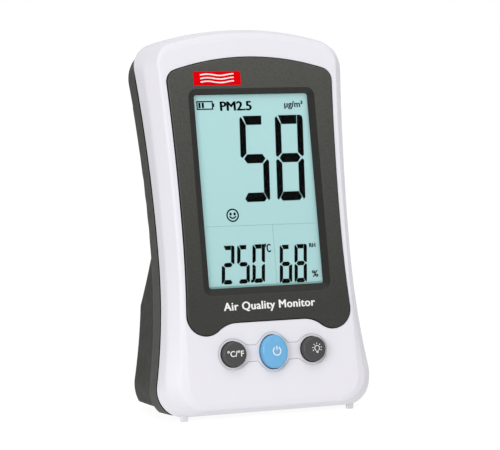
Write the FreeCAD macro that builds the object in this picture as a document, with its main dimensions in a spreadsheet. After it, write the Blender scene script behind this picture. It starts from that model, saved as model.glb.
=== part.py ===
import FreeCAD, Part
import math
import os
import Sketcher
from FreeCAD import Placement, Rotation, Vector

# Desktop air quality monitor: a white front shell with a dark display panel and three
# buttons, a dark rear shell with a sensor bulge that props it up, and the electronics inside.
#
# Every piece is drawn in the face frame: x to the right, y up the front face from the
# bottom edge, z out of the face from the seam between the two shells.  The whole assembly
# is then leaned back and seated, so that +Z is up and the origin is under its middle.

DIMENSIONS = {
    # how the monitor stands: lean of the face, table level, and table level to rear base
    "lean": 12.46, "ground": -1.5, "base_clearance": 2.45, "seat_back": 0.0,
    # outline of the seam, of the rib where side wall meets bevel, and of the front face
    "waist_level": 61.0,
    "seam_waist": 40.0, "seam_low_radius": 245.0, "seam_up_radius": 690.0, "seam_base": 0.0,
    "seam_low_corner": 10.5, "seam_top": 151.3, "seam_arch": 128.0, "seam_top_corner": 9.0,
    "rib_waist": 39.4, "rib_low_radius": 300.0, "rib_up_radius": 1020.0, "rib_base": 0.0,
    "rib_low_corner": 13.0, "rib_top": 150.5, "rib_arch": 126.0, "rib_top_corner": 12.0,
    "face_waist": 35.9, "face_low_radius": 460.0, "face_up_radius": 1300.0, "face_base": 1.4,
    "face_low_corner": 10.0, "face_top": 148.3, "face_arch": 126.0, "face_top_corner": 8.0,
    "rib_level": 5.0, "face_level": 10.8, "face_rounding": 1.5,
    # walls and fits
    "shell_wall": 2.6, "ceiling_level": 8.2, "shoulder_level": 4.0, "shoulder_inset": 5.6,
    "fit_gap": 0.25, "slide_gap": 0.3,
    # display panel
    "panel_waist_level": 70.0, "panel_waist": 33.2, "panel_low_radius": 461.0,
    "panel_up_radius": 1080.0, "panel_base": 30.3, "panel_low_corner": 7.7,
    "panel_top": 138.7, "panel_arch": 106.0, "panel_top_corner": 5.0,
    "panel_plateau": 34.8, "panel_swell_radius": 12.0,
    "panel_seat_level": 9.4, "panel_level": 11.4, "panel_rounding": 0.6,
    # display opening and the stack behind it
    "display_level": 86.0, "view_width": 48.06, "view_height": 75.58, "view_corner": 1.0,
    "bevel_width": 53.56, "bevel_height": 80.98, "bevel_drop": 0.3, "bevel_corner": 3.5,
    "bevel_level": 10.3, "window_width": 52.0, "window_height": 79.6, "window_corner": 1.5,
    "window_back": 9.1, "window_front": 9.9, "opening_width": 58.0, "opening_height": 88.0,
    "opening_corner": 3.0, "glass_width": 52.0, "glass_height": 80.0, "glass_back": 6.6,
    "glass_front": 9.0, "glass_plate": 1.2, "glass_ledge": 3.0,
    "guide_width": 50.0, "guide_height": 74.0, "guide_back": 3.4, "guide_front": 6.5,
    "guide_rise": 2.2, "strip_width": 50.0, "strip_height": 2.0, "strip_level": 46.6,
    "holder_width": 57.0, "holder_height": 87.0, "holder_wall": 2.2, "holder_back": 2.7,
    # buttons, from their middles
    "button_level": 22.5, "button_pitch": 16.7, "round_radius": 4.8,
    "oval_half_width": 5.3, "oval_half_height": 6.5, "button_top": 13.8,
    "round_rounding": 1.0, "oval_rounding": 1.1,
    "flange_radius": 6.1, "flange_back": 7.0, "flange_front": 7.9,
    "stem_radius": 1.6, "stem_back": 6.9,
    "outline_margin": 1.1, "outline_depth": 0.3, "outline_neck": 6.4, "outline_blend": 3.0,
    # tact switches under the buttons
    "switch_side": 6.0, "switch_front": 6.0, "switch_bore": 1.75,
    "switch_floor": 2.8, "plunger_back": 3.8,
    # main board and its screws
    "board_width": 59.0, "board_base": 10.0, "board_height": 128.0, "board_corner": 2.0,
    "board_back": 1.0, "board_front": 2.6, "post_x": 26.0, "post_low": 37.2, "post_high": 134.2,
    "post_radius": 2.4, "post_bore": 0.9, "board_hole": 1.2,
    "board_screw_radius": 0.85, "board_screw_head": 1.7, "board_screw_rise": 1.1,
    "board_screw_length": 5.0,
    # case screws in four bosses
    "boss_low_x": 34.0, "boss_low": 72.0, "boss_high_x": 35.2, "boss_high": 132.0,
    "boss_radius": 3.0, "rear_boss_radius": 4.4, "boss_bore": 1.35, "boss_front_back": 0.3,
    "screw_hole": 1.6, "screw_well": 3.0, "screw_well_depth": 2.6,
    "screw_radius": 1.3, "screw_head": 2.7, "screw_head_rise": 1.9, "screw_length": 13.0,
    # rear shell: tray and sensor bulge
    "reveal_inset": 0.5, "reveal_depth": 0.8, "tray_depth": 10.5, "tray_rounding": 2.4,
    "tray_top": 150.3, "tray_top_corner": 13.0,
    "bulge_inset": 0.8, "bulge_wall": 2.0, "bulge_rounding": 1.2, "bulge_corner": 14.0,
    "shoulder_top": 65.0, "shoulder_foot": 46.0, "shoulder_depth": 27.2,
    "bulge_foot_depth": 32.3,
    # vents
    "slot_pitch": 6.0, "slot_width": 2.0, "slot_length": 13.0, "slot_count": 9,
    "louvre_pitch": 3.4, "louvre_height": 1.6, "louvre_width": 25.0, "louvre_x": 17.5,
    "louvre_low": 19.5, "louvre_count": 6,
    "top_slot_low": 131.0, "top_slot_length": 9.0, "top_slot_count": 6, "top_slot_pitch": 3.4,
    "top_slot_x": -8.5,
    # feet
    "nub_x": 35.1, "nub_width": 2.8, "nub_front": -1.75, "nub_length": 1.7, "nub_height": 3.0,
    "pad_x": 27.0, "pad_radius": 4.5, "pad_back": 26.0, "pad_recess": 0.8,
    # battery
    "battery_width": 50.0, "battery_height": 42.0, "battery_base": 86.0,
    "battery_back": -8.2, "battery_front": -2.2, "battery_rounding": 1.5, "tape_thickness": 0.25,
    "lead_radius": 0.55, "lead_pitch": 2.0, "lead_x": 12.0, "lead_level": -4.0,
    "plug_width": 7.0, "plug_height": 5.0, "plug_base": 131.2, "plug_back": -5.6,
    # board parts on the back of the main board
    "chip_side": 12.0, "chip_rise": 1.5, "chip_level": 62.0, "buzzer_radius": 5.0,
    "buzzer_rise": 4.0, "buzzer_x": -18.0, "buzzer_level": 72.0,
    # laser dust sensor in the bulge
    "sensor_x": -10.0, "sensor_width": 48.0, "sensor_base": 10.0, "sensor_height": 32.5,
    "sensor_back": -25.4, "sensor_front": -13.5, "sensor_wall": 1.2, "lid_thickness": 1.2,
    "fan_x": -22.5, "fan_level": 22.5, "fan_radius": 8.8, "fan_hub": 4.2, "fan_back": -23.2,
    "fan_front": -17.2, "fan_bore": 0.83, "blade_count": 11, "blade_thickness": 0.7,
    "shaft_radius": 0.78, "shaft_front": -16.8, "sensor_board_back": -16.2,
    "sensor_board_front": -15.0, "laser_radius": 2.5, "laser_length": 9.0, "laser_x": 1.0,
    "laser_level": 33.0, "laser_middle": -20.0, "fan_port_radius": 7.0,
    "ribbon_width": 8.0, "ribbon_thickness": 0.6, "ribbon_x": 2.0, "ribbon_level": 27.0,
    "gasket_thickness": 1.0, "gasket_wall": 2.4, "gasket_margin": 1.0, "gasket_height": 21.0,
    "web_thickness": 1.2, "web_height": 26.0, "web_base": 12.0, "web_front": -15.0,
    "web_foot": 6.6, "climate_stand_back": -9.0, "climate_ribbon_width": 5.0,
    # charging socket and its small board
    "socket_x": 25.5, "socket_base": 13.8, "socket_width": 7.6, "socket_height": 2.9,
    "socket_length": 5.6, "socket_mouth": -31.2, "socket_wall": 0.4, "socket_gap": 0.3,
    "tongue_width": 4.6, "tongue_height": 0.7,
    "charge_board_width": 14.0, "charge_board_front": -14.0, "charge_board_back": -29.0,
    "charge_board_thickness": 1.2, "charge_ribbon_width": 6.0,
    # temperature and humidity sensor
    "climate_x": -8.5, "climate_width": 14.0, "climate_base": 131.5, "climate_height": 9.0,
    "climate_back": -7.6, "climate_front": -6.6, "climate_chip": 2.5, "climate_chip_rise": 0.7,
    # blank rating label
    "label_width": 50.0, "label_height": 24.0, "label_base": 96.0, "label_thickness": 0.3,
}


class Dim:
    """A length in millimetres together with the sheet formula that drives it."""

    def __init__(self, value, formula):
        self.value = value
        self.formula = formula

    def combine(self, sign, other, result):
        return Dim(result, "(%s %s %s)" % (self.formula, sign, other.formula))

    def __add__(self, other):
        other = as_dim(other)
        return self.combine("+", other, self.value + other.value)

    def __sub__(self, other):
        other = as_dim(other)
        return self.combine("-", other, self.value - other.value)

    def __mul__(self, other):
        other = as_dim(other)
        return self.combine("*", other, self.value * other.value)

    def __truediv__(self, other):
        other = as_dim(other)
        return self.combine("/", other, self.value / other.value)

    def __neg__(self):
        return Dim(-self.value, "(-1 * %s)" % self.formula)


def as_dim(size):
    return size if isinstance(size, Dim) else Dim(float(size), repr(float(size)))


class Dims:
    """Reads a sheet cell by its alias: dims.lean is the lean as a Dim."""

    def __getattr__(self, alias):
        return Dim(float(sheet.get(alias)), "sheet." + alias)


def sine_of(angle):
    return Dim(math.sin(math.radians(angle.value)), "sin(%s * 1 deg)" % angle.formula)


def cosine_of(angle):
    return Dim(math.cos(math.radians(angle.value)), "cos(%s * 1 deg)" % angle.formula)


doc = FreeCAD.newDocument("air_quality_monitor")
sheet = doc.addObject("Spreadsheet::Sheet", "sheet")
dims = Dims()


def fill_sheet():
    for row, (alias, value) in enumerate(DIMENSIONS.items(), start=1):
        sheet.set("A%d" % row, alias)
        sheet.set("B%d" % row, str(value))
        sheet.setAlias("B%d" % row, alias)
    doc.recompute()


# ---------------------------------------------------------------- sketches and features

def new_body(name):
    return doc.addObject("PartDesign::Body", name)


def new_sketch(body, level=None, role="XY_Plane"):
    sketch = body.newObject("Sketcher::SketchObject", body.Name + "_sketch")
    support = [item for item in body.Origin.OriginFeatures if item.Role == role][0]
    sketch.AttachmentSupport = (support, [""])
    sketch.MapMode = "FlatFace"
    if level is not None:
        sketch.setExpression(".AttachmentOffset.Base.z", as_dim(level).formula)
    return sketch


def bind(sketch, kind, where, size):
    index = sketch.addConstraint(Sketcher.Constraint(kind, *where, size.value))
    sketch.setExpression("Constraints[%d]" % index, size.formula)


def pin_point(sketch, geometry, point, across, along):
    bind(sketch, "DistanceX", (-1, 1, geometry, point), as_dim(across))
    bind(sketch, "DistanceY", (-1, 1, geometry, point), as_dim(along))


def draw_circle(sketch, across, along, radius):
    centre = Vector(as_dim(across).value, as_dim(along).value, 0)
    circle = sketch.addGeometry(Part.Circle(centre, Vector(0, 0, 1), radius.value))
    bind(sketch, "Radius", (circle,), radius)
    pin_point(sketch, circle, 3, across, along)


def draw_ellipse(sketch, along, half_width, half_height):
    """Upright ellipse on the face's middle line."""
    centre = Vector(0, along.value, 0)
    top = centre + Vector(0, half_height.value, 0)
    side = centre + Vector(half_width.value, 0, 0)
    ellipse = sketch.addGeometry(Part.Ellipse(top, side, centre))
    sketch.exposeInternalGeometry(ellipse)
    long_axis = ellipse + 1
    short_axis = ellipse + 2
    pin_point(sketch, ellipse, 3, 0, along)
    sketch.addConstraint(Sketcher.Constraint("Vertical", long_axis))
    bind(sketch, "Distance", (long_axis,), half_height * 2)
    bind(sketch, "Distance", (short_axis,), half_width * 2)


def draw_polygon(sketch, points):
    """Closed polygon whose corners are all pinned to (across, along) sizes."""
    corners = [Vector(as_dim(x).value, as_dim(y).value, 0) for x, y in points]
    lines = [sketch.addGeometry(Part.LineSegment(a, b))
             for a, b in zip(corners, corners[1:] + corners[:1])]
    for line, after in zip(lines, lines[1:] + lines[:1]):
        sketch.addConstraint(Sketcher.Constraint("Coincident", line, 2, after, 1))
    for line, (x, y) in zip(lines, points):
        pin_point(sketch, line, 1, x, y)


def draw_rectangle(sketch, width, height, middle):
    """Square-cornered rectangle about the face's middle line."""
    left, right = width / -2, width / 2
    low, high = middle - height / 2, middle + height / 2
    draw_polygon(sketch, [(left, low), (right, low), (right, high), (left, high)])


def draw_rounded(sketch, width, height, middle, corner):
    """Rectangle about the middle line with four equal rounded corners."""
    half, tall, round_off = width.value / 2, height.value / 2, corner.value
    edges = []
    for turn, (sx, sy) in enumerate(((1, -1), (1, 1), (-1, 1), (-1, -1))):
        centre = Vector(sx * (half - round_off), middle.value + sy * (tall - round_off), 0)
        start = -math.pi / 2 + turn * math.pi / 2
        circle = Part.Circle(centre, Vector(0, 0, 1), round_off)
        arc = sketch.addGeometry(Part.ArcOfCircle(circle, start, start + math.pi / 2))
        bind(sketch, "Radius", (arc,), corner)
        pin_point(sketch, arc, 3, (width / 2 - corner) * sx, middle + (height / 2 - corner) * sy)
        edges.append(arc)
    for arc, after in zip(edges, edges[1:] + edges[:1]):
        ends = [sketch.getPoint(arc, 2), sketch.getPoint(after, 1)]
        line = sketch.addGeometry(Part.LineSegment(*ends))
        sketch.addConstraint(Sketcher.Constraint("Tangent", arc, 2, line, 1))
        sketch.addConstraint(Sketcher.Constraint("Coincident", line, 2, after, 1))


def add_feature(body, kind, sketch, length, reverse=False):
    feature = body.newObject("PartDesign::" + kind, body.Name + "_" + kind.lower())
    feature.Profile = sketch
    feature.setExpression("Length", as_dim(length).formula)
    feature.Reversed = reverse
    before = body.Shape.Volume if kind == "Pocket" else None
    doc.recompute()
    if before is not None and not feature.Shape.Volume < before - 1e-6:
        raise RuntimeError(feature.Label + " cuts nothing")
    return feature


def pad(body, sketch, length, reverse=False):
    return add_feature(body, "Pad", sketch, length, reverse)


def pocket(body, sketch, length, reverse=False):
    return add_feature(body, "Pocket", sketch, length, reverse)


def round_edges(body, chosen, radius):
    """Fillet of the edges of the body's last feature that chosen(edge) picks."""
    names = ["Edge%d" % n for n, edge in enumerate(body.Shape.Edges, 1) if chosen(edge)]
    fillet = body.newObject("PartDesign::Fillet", body.Name + "_fillet")
    fillet.Base = (body.Group[-2], names)
    fillet.setExpression("Radius", radius.formula)
    doc.recompute()
    return fillet


def lies_at(level):
    """Picks the edges that lie in the plane at this height over the seam."""
    height = as_dim(level).value
    return lambda edge: (abs(edge.BoundBox.ZMin - height) < 1e-3
                         and abs(edge.BoundBox.ZMax - height) < 1e-3)


# ---------------------------------------------------------------- plain solids

def place(item, x, y, z, tilt=None):
    for axis, size in zip("xyz", (x, y, z)):
        item.setExpression("Placement.Base." + axis, as_dim(size).formula)
    if tilt is not None:
        item.Placement.Rotation = Rotation(Vector(1, 0, 0), tilt)
    return item


def block(name, size, corner, tilt=None):
    box = doc.addObject("Part::Box", name)
    for side, length in zip(("Length", "Width", "Height"), size):
        box.setExpression(side, as_dim(length).formula)
    return place(box, *corner, tilt)


def rod(name, radius, height, foot, tilt=None):
    cylinder = doc.addObject("Part::Cylinder", name)
    cylinder.setExpression("Radius", as_dim(radius).formula)
    cylinder.setExpression("Height", as_dim(height).formula)
    return place(cylinder, *foot, tilt)


def middle_block(name, width, middle_x, low_y, height, back, front):
    """Box by its middle x, its lower y, and its back and front z."""
    left = as_dim(middle_x) - as_dim(width) / 2
    return block(name, (width, height, front - back), (left, low_y, back))


def upright(back, up):
    """Face-frame y and z of a point given by its way back and up in the room."""
    sine, cosine = sine_of(dims.lean), cosine_of(dims.lean)
    back, up = as_dim(back), as_dim(up)
    return back * sine + up * cosine, up * sine - back * cosine


def upright_tilt():
    """Turn about x that stands a solid up in the room although it is drawn in the face."""
    return dims.lean.value - 90


def upright_block(name, width, middle_x, back, length, up, height):
    """Box square to the room: its front at back, its underside at up."""
    y, z = upright(back, up)
    left = as_dim(middle_x) - as_dim(width) / 2
    return block(name, (width, length, height), (left, y, z), tilt=upright_tilt())


def upright_rod(name, radius, x, back, up, height):
    y, z = upright(back, up)
    return rod(name, radius, height, (x, y, z), tilt=upright_tilt())


def join(name, items):
    if len(items) == 1:
        return items[0]
    whole = doc.addObject("Part::MultiFuse", name)
    whole.Shapes = items
    return whole


def bundle(name, items):
    """Several equal solids that stay apart and share one name."""
    whole = doc.addObject("Part::Compound", name)
    whole.Links = items
    return whole


def cut(name, base, tool):
    result = doc.addObject("Part::Cut", name)
    result.Base = base
    result.Tool = tool
    doc.recompute()
    if not result.Shape.Volume < base.Shape.Volume - 1e-6:
        raise RuntimeError(name + " cuts nothing")
    return result


def common(name, first, second):
    result = doc.addObject("Part::Common", name)
    result.Base = first
    result.Tool = second
    doc.recompute()
    return result


def soften(name, base, chosen, radius):
    """Part fillet of the edges of base that chosen(edge) picks."""
    doc.recompute()
    result = doc.addObject("Part::Fillet", name)
    result.Base = base
    picked = [n for n, edge in enumerate(base.Shape.Edges, 1) if chosen(edge)]
    result.Edges = [(n, radius.value, radius.value) for n in picked]
    doc.recompute()
    return result


# ---------------------------------------------------------------- shell outlines

OUTLINE_KEYS = ("waist", "low_radius", "up_radius", "base", "low_corner",
                "top", "arch", "top_corner")
INWARD = {"waist": -1, "low_radius": 1, "up_radius": 1, "base": 1, "low_corner": -1,
          "top": -1, "arch": -1, "top_corner": -1, "plateau": 1, "swell_radius": 1}


def outline_sizes(name, keys=OUTLINE_KEYS):
    return {key: getattr(dims, name + "_" + key) for key in keys}


def inset(sizes, distance):
    """The same outline moved inwards, or outwards by a negative distance."""
    return {key: size + as_dim(distance) * INWARD[key] for key, size in sizes.items()}


def blend(parts):
    """Outline between several others, each with its share."""
    keys = parts[0][0].keys()
    mixed = {}
    for key in keys:
        total = parts[0][0][key] * parts[0][1]
        for sizes, share in parts[1:]:
            total = total + sizes[key] * share
        mixed[key] = total
    return mixed


def toward(start, goal, distance):
    step = goal - start
    return start + step * (distance / step.Length)


def circles_meet(centre, radius, other, other_radius):
    """Upper crossing of two circles."""
    apart = other - centre
    along = (radius ** 2 - other_radius ** 2 + apart.Length ** 2) / (2 * apart.Length)
    aside = math.sqrt(radius ** 2 - along ** 2)
    foot = toward(centre, other, along)
    across = Vector(-apart.y, apart.x, 0) * (aside / apart.Length)
    return max(foot + across, foot - across, key=lambda point: point.y)


def mirrored(point):
    return Vector(-point.x, point.y, 0)


def draw_arc(sketch, centre, radius, first, last):
    """Short arc from first to last; returns it with the point numbers of its two ends."""
    begin = math.atan2(first.y - centre.y, first.x - centre.x)
    finish = math.atan2(last.y - centre.y, last.x - centre.x)
    turn = (finish - begin) % (2 * math.pi)
    circle = Part.Circle(centre, Vector(0, 0, 1), radius)
    if turn < math.pi:
        return sketch.addGeometry(Part.ArcOfCircle(circle, begin, begin + turn)), 1, 2
    turn = 2 * math.pi - turn
    return sketch.addGeometry(Part.ArcOfCircle(circle, finish, finish + turn)), 2, 1


def draw_outline(sketch, sizes, waist_level):
    """Closed outline of the monitor: waisted sides of two arcs each, an arched top, and
    either a straight base or, for the display panel, a plateau between two lobes."""
    value = {key: size.value for key, size in sizes.items()}
    level = waist_level.value
    low = Vector(value["waist"] + value["low_radius"], level, 0)
    up = Vector(value["waist"] + value["up_radius"], level, 0)
    foot_y = value["base"] + value["low_corner"]
    reach = value["low_radius"] + value["low_corner"]
    foot = Vector(low.x - math.sqrt(reach ** 2 - (level - foot_y) ** 2), foot_y, 0)
    crown = Vector(0, value["top"] - value["arch"], 0)
    head = circles_meet(crown, value["arch"] - value["top_corner"],
                        up, value["up_radius"] + value["top_corner"])
    names = ["low_corner", "low_radius", "up_radius", "top_corner"]
    centres = [foot, low, up, head]
    corners = [Vector(foot.x, value["base"], 0), toward(foot, low, value["low_corner"]),
               Vector(value["waist"], level, 0), toward(head, up, value["top_corner"]),
               toward(crown, head, value["arch"])]
    if "plateau" in sizes:
        swell_y = value["plateau"] - value["swell_radius"]
        reach = value["swell_radius"] + value["low_corner"]
        swell = Vector(foot.x - math.sqrt(reach ** 2 - (foot.y - swell_y) ** 2), swell_y, 0)
        names.insert(0, "swell_radius")
        centres.insert(0, swell)
        corners[0] = toward(foot, swell, value["low_corner"])
        corners.insert(0, Vector(swell.x, value["plateau"], 0))
    base_line = sketch.addGeometry(Part.LineSegment(mirrored(corners[0]), corners[0]))
    right = [draw_arc(sketch, centre, value[name], *corners[n:n + 2])
             for n, (name, centre) in enumerate(zip(names, centres))]
    arch = draw_arc(sketch, crown, value["arch"], corners[-1], mirrored(corners[-1]))
    left = [draw_arc(sketch, mirrored(centre), value[name], *map(mirrored, corners[n:n + 2][::-1]))
            for n, (name, centre) in enumerate(zip(names, centres))]
    loop = [(base_line, 1, 2)] + right + [arch] + left[::-1]
    for this, after in zip(loop, loop[1:] + loop[:1]):
        sketch.addConstraint(Sketcher.Constraint("Tangent", this[0], this[2], after[0], after[1]))
    sketch.addConstraint(Sketcher.Constraint("Horizontal", base_line))
    base_key = "plateau" if "plateau" in sizes else "base"
    bind(sketch, "DistanceY", (-1, 1, base_line, 1), sizes[base_key])
    if "plateau" in sizes:
        for arcs in (right, left):
            bind(sketch, "DistanceY", (-1, 1, arcs[1][0], 3), sizes["base"] + sizes["low_corner"])
    for arcs, side in ((right, 1), (left, -1)):
        for name, arc in zip(names, arcs):
            bind(sketch, "Radius", (arc[0],), sizes[name])
        low_arc = arcs[names.index("low_radius")][0]
        up_arc = arcs[names.index("up_radius")][0]
        pin_point(sketch, low_arc, 3, (sizes["waist"] + sizes["low_radius"]) * side, waist_level)
        bind(sketch, "DistanceY", (-1, 1, up_arc, 3), waist_level)
    bind(sketch, "Radius", (arch[0],), sizes["arch"])
    bind(sketch, "DistanceY", (-1, 1, arch[0], 3), sizes["top"] - sizes["arch"])
    sketch.addConstraint(Sketcher.Constraint("PointOnObject", arch[0], 3, -2))


def outline_sketch(body, sizes, level=None, waist_level=None):
    sketch = new_sketch(body, level)
    draw_outline(sketch, sizes, waist_level or dims.waist_level)
    return sketch


def panel_sizes():
    return outline_sizes("panel", OUTLINE_KEYS + ("plateau", "swell_radius"))


# ---------------------------------------------------------------- front shell

ROUNDING_STEPS = 3      # flats that round each corner of the shell's side
RIB_REACH = 0.22        # share of side wall and bevel that the rib's rounding takes up
RIM_REACH = 0.30        # share of the bevel that the rounding at the face takes up


def mix(first, second, share):
    """The section that lies a share of the way from first to second."""
    return (blend([(first[0], 1 - share), (second[0], share)]),
            first[1] * (1 - share) + second[1] * share)


def rounded_corner(before, corner, after):
    """Sections along the parabola that rounds a corner between two others."""
    steps = [step / ROUNDING_STEPS for step in range(ROUNDING_STEPS + 1)]
    return [mix(mix(before, corner, t), mix(corner, after, t), t) for t in steps]


def shell_sections():
    """Outlines and heights from the seam to the face, with its two corners rounded."""
    seam = (outline_sizes("seam"), as_dim(0))
    rib = (outline_sizes("rib"), dims.rib_level)
    face = (outline_sizes("face"), dims.face_level)
    rim = (inset(outline_sizes("face"), dims.face_rounding), dims.face_level)
    sections = [seam]
    sections += rounded_corner(mix(rib, seam, RIB_REACH), rib, mix(rib, face, RIB_REACH))
    sections += rounded_corner(mix(face, rib, RIM_REACH), face, rim)
    return sections


def boss_places():
    return [(dims.boss_low_x * side, dims.boss_low) for side in (-1, 1)] + \
           [(dims.boss_high_x * side, dims.boss_high) for side in (-1, 1)]


def post_places():
    return [(dims.post_x * side, level) for side in (-1, 1)
            for level in (dims.post_low, dims.post_high)]


def button_outline():
    """Shallow outline around the three buttons, as a solid to cut away."""
    back = dims.face_level - dims.outline_depth
    rise = dims.outline_depth * 3
    margin = dims.outline_margin
    body = new_body("outline_oval")
    sketch = new_sketch(body, back)
    draw_ellipse(sketch, dims.button_level, dims.oval_half_width + margin,
                 dims.oval_half_height + margin)
    pad(body, sketch, rise)
    rings = [rod("outline_ring", dims.round_radius + margin, rise,
                 (dims.button_pitch * side, dims.button_level, back)) for side in (-1, 1)]
    neck = block("outline_neck_bar", (dims.button_pitch * 2, dims.outline_neck, rise),
                 (-dims.button_pitch, dims.button_level - dims.outline_neck / 2, back))
    whole = join("outline_whole", [body, neck] + rings)
    doc.recompute()
    middle = dims.button_level.value
    half_neck = dims.outline_neck.value / 2

    def at_neck(edge):
        box = edge.BoundBox
        upright = box.ZLength > 1e-3 and box.XLength < 1e-3 and box.YLength < 1e-3
        return upright and abs(abs(box.YMin - middle) - half_neck) < 1e-2

    return soften("outline_tool", whole, at_neck, dims.outline_blend)


def front_nub(side):
    """Small foot under the front shell, square to the table."""
    return upright_block("nub", dims.nub_width, dims.nub_x * side, dims.nub_front,
                         dims.nub_length, dims.ground, dims.nub_height)


def make_front_shell():
    body = new_body("front_block")
    sketches = [outline_sketch(body, sizes, level) for sizes, level in shell_sections()]
    doc.recompute()
    loft = body.newObject("PartDesign::AdditiveLoft", "front_loft")
    loft.Profile = sketches[0]
    loft.Sections = sketches[1:]
    loft.Ruled = True
    doc.recompute()

    seam = outline_sizes("seam")
    cavity = outline_sketch(body, inset(seam, dims.shell_wall))
    pocket(body, cavity, dims.shoulder_level, reverse=True)
    upper = outline_sketch(body, inset(seam, dims.shoulder_inset))
    pocket(body, upper, dims.ceiling_level, reverse=True)
    seat = outline_sketch(body, inset(panel_sizes(), -dims.fit_gap), dims.face_level,
                          dims.panel_waist_level)
    pocket(body, seat, dims.face_level - dims.panel_seat_level)
    opening = new_sketch(body, dims.face_level)
    draw_rounded(opening, dims.opening_width, dims.opening_height, dims.display_level,
                 dims.opening_corner)
    pocket(body, opening, dims.face_level)

    bosses = new_sketch(body, dims.boss_front_back)
    for x, y in boss_places():
        draw_circle(bosses, x, y, dims.boss_radius)
    pad(body, bosses, dims.ceiling_level + 0.4 - dims.boss_front_back)
    posts = new_sketch(body, dims.board_front)
    for x, y in post_places():
        draw_circle(posts, x, y, dims.post_radius)
    pad(body, posts, dims.ceiling_level + 0.4 - dims.board_front)
    bores = new_sketch(body, dims.boss_front_back)
    for x, y in boss_places():
        draw_circle(bores, x, y, dims.boss_bore)
    pocket(body, bores, dims.ceiling_level - dims.boss_front_back, reverse=True)
    post_bores = new_sketch(body, dims.board_front)
    for x, y in post_places():
        draw_circle(post_bores, x, y, dims.post_bore)
    pocket(body, post_bores, dims.board_screw_length - 1, reverse=True)

    holes = new_sketch(body, dims.face_level)
    for side in (-1, 1):
        draw_circle(holes, dims.button_pitch * side, dims.button_level,
                    dims.round_radius + dims.slide_gap)
    draw_ellipse(holes, dims.button_level, dims.oval_half_width + dims.slide_gap,
                 dims.oval_half_height + dims.slide_gap)
    pocket(body, holes, dims.face_level - dims.ceiling_level + 1)

    outlined = cut("outlined_front", body, button_outline())
    whole = join("front_with_nubs", [outlined, front_nub(-1), front_nub(1)])
    return whole


# ---------------------------------------------------------------- display

def make_face_panel():
    body = new_body("face_panel")
    outline = outline_sketch(body, panel_sizes(), dims.panel_seat_level, dims.panel_waist_level)
    pad(body, outline, dims.panel_level - dims.panel_seat_level)
    round_edges(body, lies_at(dims.panel_level), dims.panel_rounding)
    through = new_sketch(body, dims.panel_seat_level)
    draw_rounded(through, dims.view_width, dims.view_height, dims.display_level,
                 dims.view_corner)
    pocket(body, through, dims.panel_level - dims.panel_seat_level, reverse=True)
    inner = new_sketch(body, dims.bevel_level)
    draw_rounded(inner, dims.view_width, dims.view_height, dims.display_level,
                 dims.view_corner)
    outer = new_sketch(body, dims.panel_level)
    draw_rounded(outer, dims.bevel_width, dims.bevel_height,
                 dims.display_level - dims.bevel_drop, dims.bevel_corner)
    doc.recompute()
    bevel = body.newObject("PartDesign::SubtractiveLoft", "window_bevel")
    bevel.Profile = inner
    bevel.Sections = [outer]
    bevel.Ruled = True
    doc.recompute()
    rebate = new_sketch(body, dims.panel_seat_level)
    draw_rounded(rebate, dims.window_width + dims.fit_gap, dims.window_height + dims.fit_gap,
                 dims.display_level, dims.window_corner)
    pocket(body, rebate, dims.window_front - dims.panel_seat_level, reverse=True)
    return body


def make_rounded_plate(name, width, height, middle, corner, back, front):
    body = new_body(name)
    sketch = new_sketch(body, back)
    draw_rounded(sketch, width, height, middle, corner)
    pad(body, sketch, front - back)
    return body


def make_display_window():
    return make_rounded_plate("display_window", dims.window_width, dims.window_height,
                              dims.display_level, dims.window_corner, dims.window_back,
                              dims.window_front)


def make_lcd_glass():
    low = dims.display_level - dims.glass_height / 2
    plate = middle_block("glass_rear_plate", dims.glass_width, 0, low, dims.glass_height,
                         dims.glass_back, dims.glass_back + dims.glass_plate)
    front = middle_block("glass_front_plate", dims.glass_width, 0, low + dims.glass_ledge,
                         dims.glass_height - dims.glass_ledge,
                         dims.glass_back + dims.glass_plate, dims.glass_front)
    return join("lcd_glass", [plate, front])


def make_light_guide():
    low = dims.display_level - dims.guide_height / 2 + dims.guide_rise
    return middle_block("light_guide", dims.guide_width, 0, low, dims.guide_height,
                        dims.guide_back, dims.guide_front)


def make_contact_strip():
    return middle_block("contact_strip", dims.strip_width, 0, dims.strip_level,
                        dims.strip_height, dims.holder_back, dims.glass_back)


def make_display_holder():
    body = new_body("display_holder")
    sketch = new_sketch(body, dims.holder_back)
    draw_rounded(sketch, dims.holder_width, dims.holder_height, dims.display_level,
                 dims.opening_corner)
    pad(body, sketch, dims.glass_front - dims.holder_back)
    inside = new_sketch(body, dims.holder_back)
    draw_rectangle(inside, dims.holder_width - dims.holder_wall * 2,
                   dims.holder_height - dims.holder_wall * 2, dims.display_level)
    pocket(body, inside, dims.glass_front - dims.holder_back, reverse=True)
    return body


# ---------------------------------------------------------------- buttons and switches

def make_round_button(name, side):
    body = new_body(name)
    cap = new_sketch(body, dims.flange_back)
    draw_circle(cap, dims.button_pitch * side, dims.button_level, dims.round_radius)
    pad(body, cap, dims.button_top - dims.flange_back)
    round_edges(body, lies_at(dims.button_top), dims.round_rounding)
    return finish_button(body, dims.button_pitch * side)


def make_oval_button(name):
    body = new_body(name)
    cap = new_sketch(body, dims.flange_back)
    draw_ellipse(cap, dims.button_level, dims.oval_half_width, dims.oval_half_height)
    pad(body, cap, dims.button_top - dims.flange_back)
    round_edges(body, lies_at(dims.button_top), dims.oval_rounding)
    flange = new_sketch(body, dims.flange_back)
    draw_ellipse(flange, dims.button_level, dims.flange_radius + dims.round_rounding / 2,
                 dims.oval_half_height + dims.round_rounding)
    pad(body, flange, dims.flange_front - dims.flange_back)
    return finish_stem(body, 0)


def finish_button(body, x):
    flange = new_sketch(body, dims.flange_back)
    draw_circle(flange, x, dims.button_level, dims.flange_radius)
    pad(body, flange, dims.flange_front - dims.flange_back)
    return finish_stem(body, x)


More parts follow.
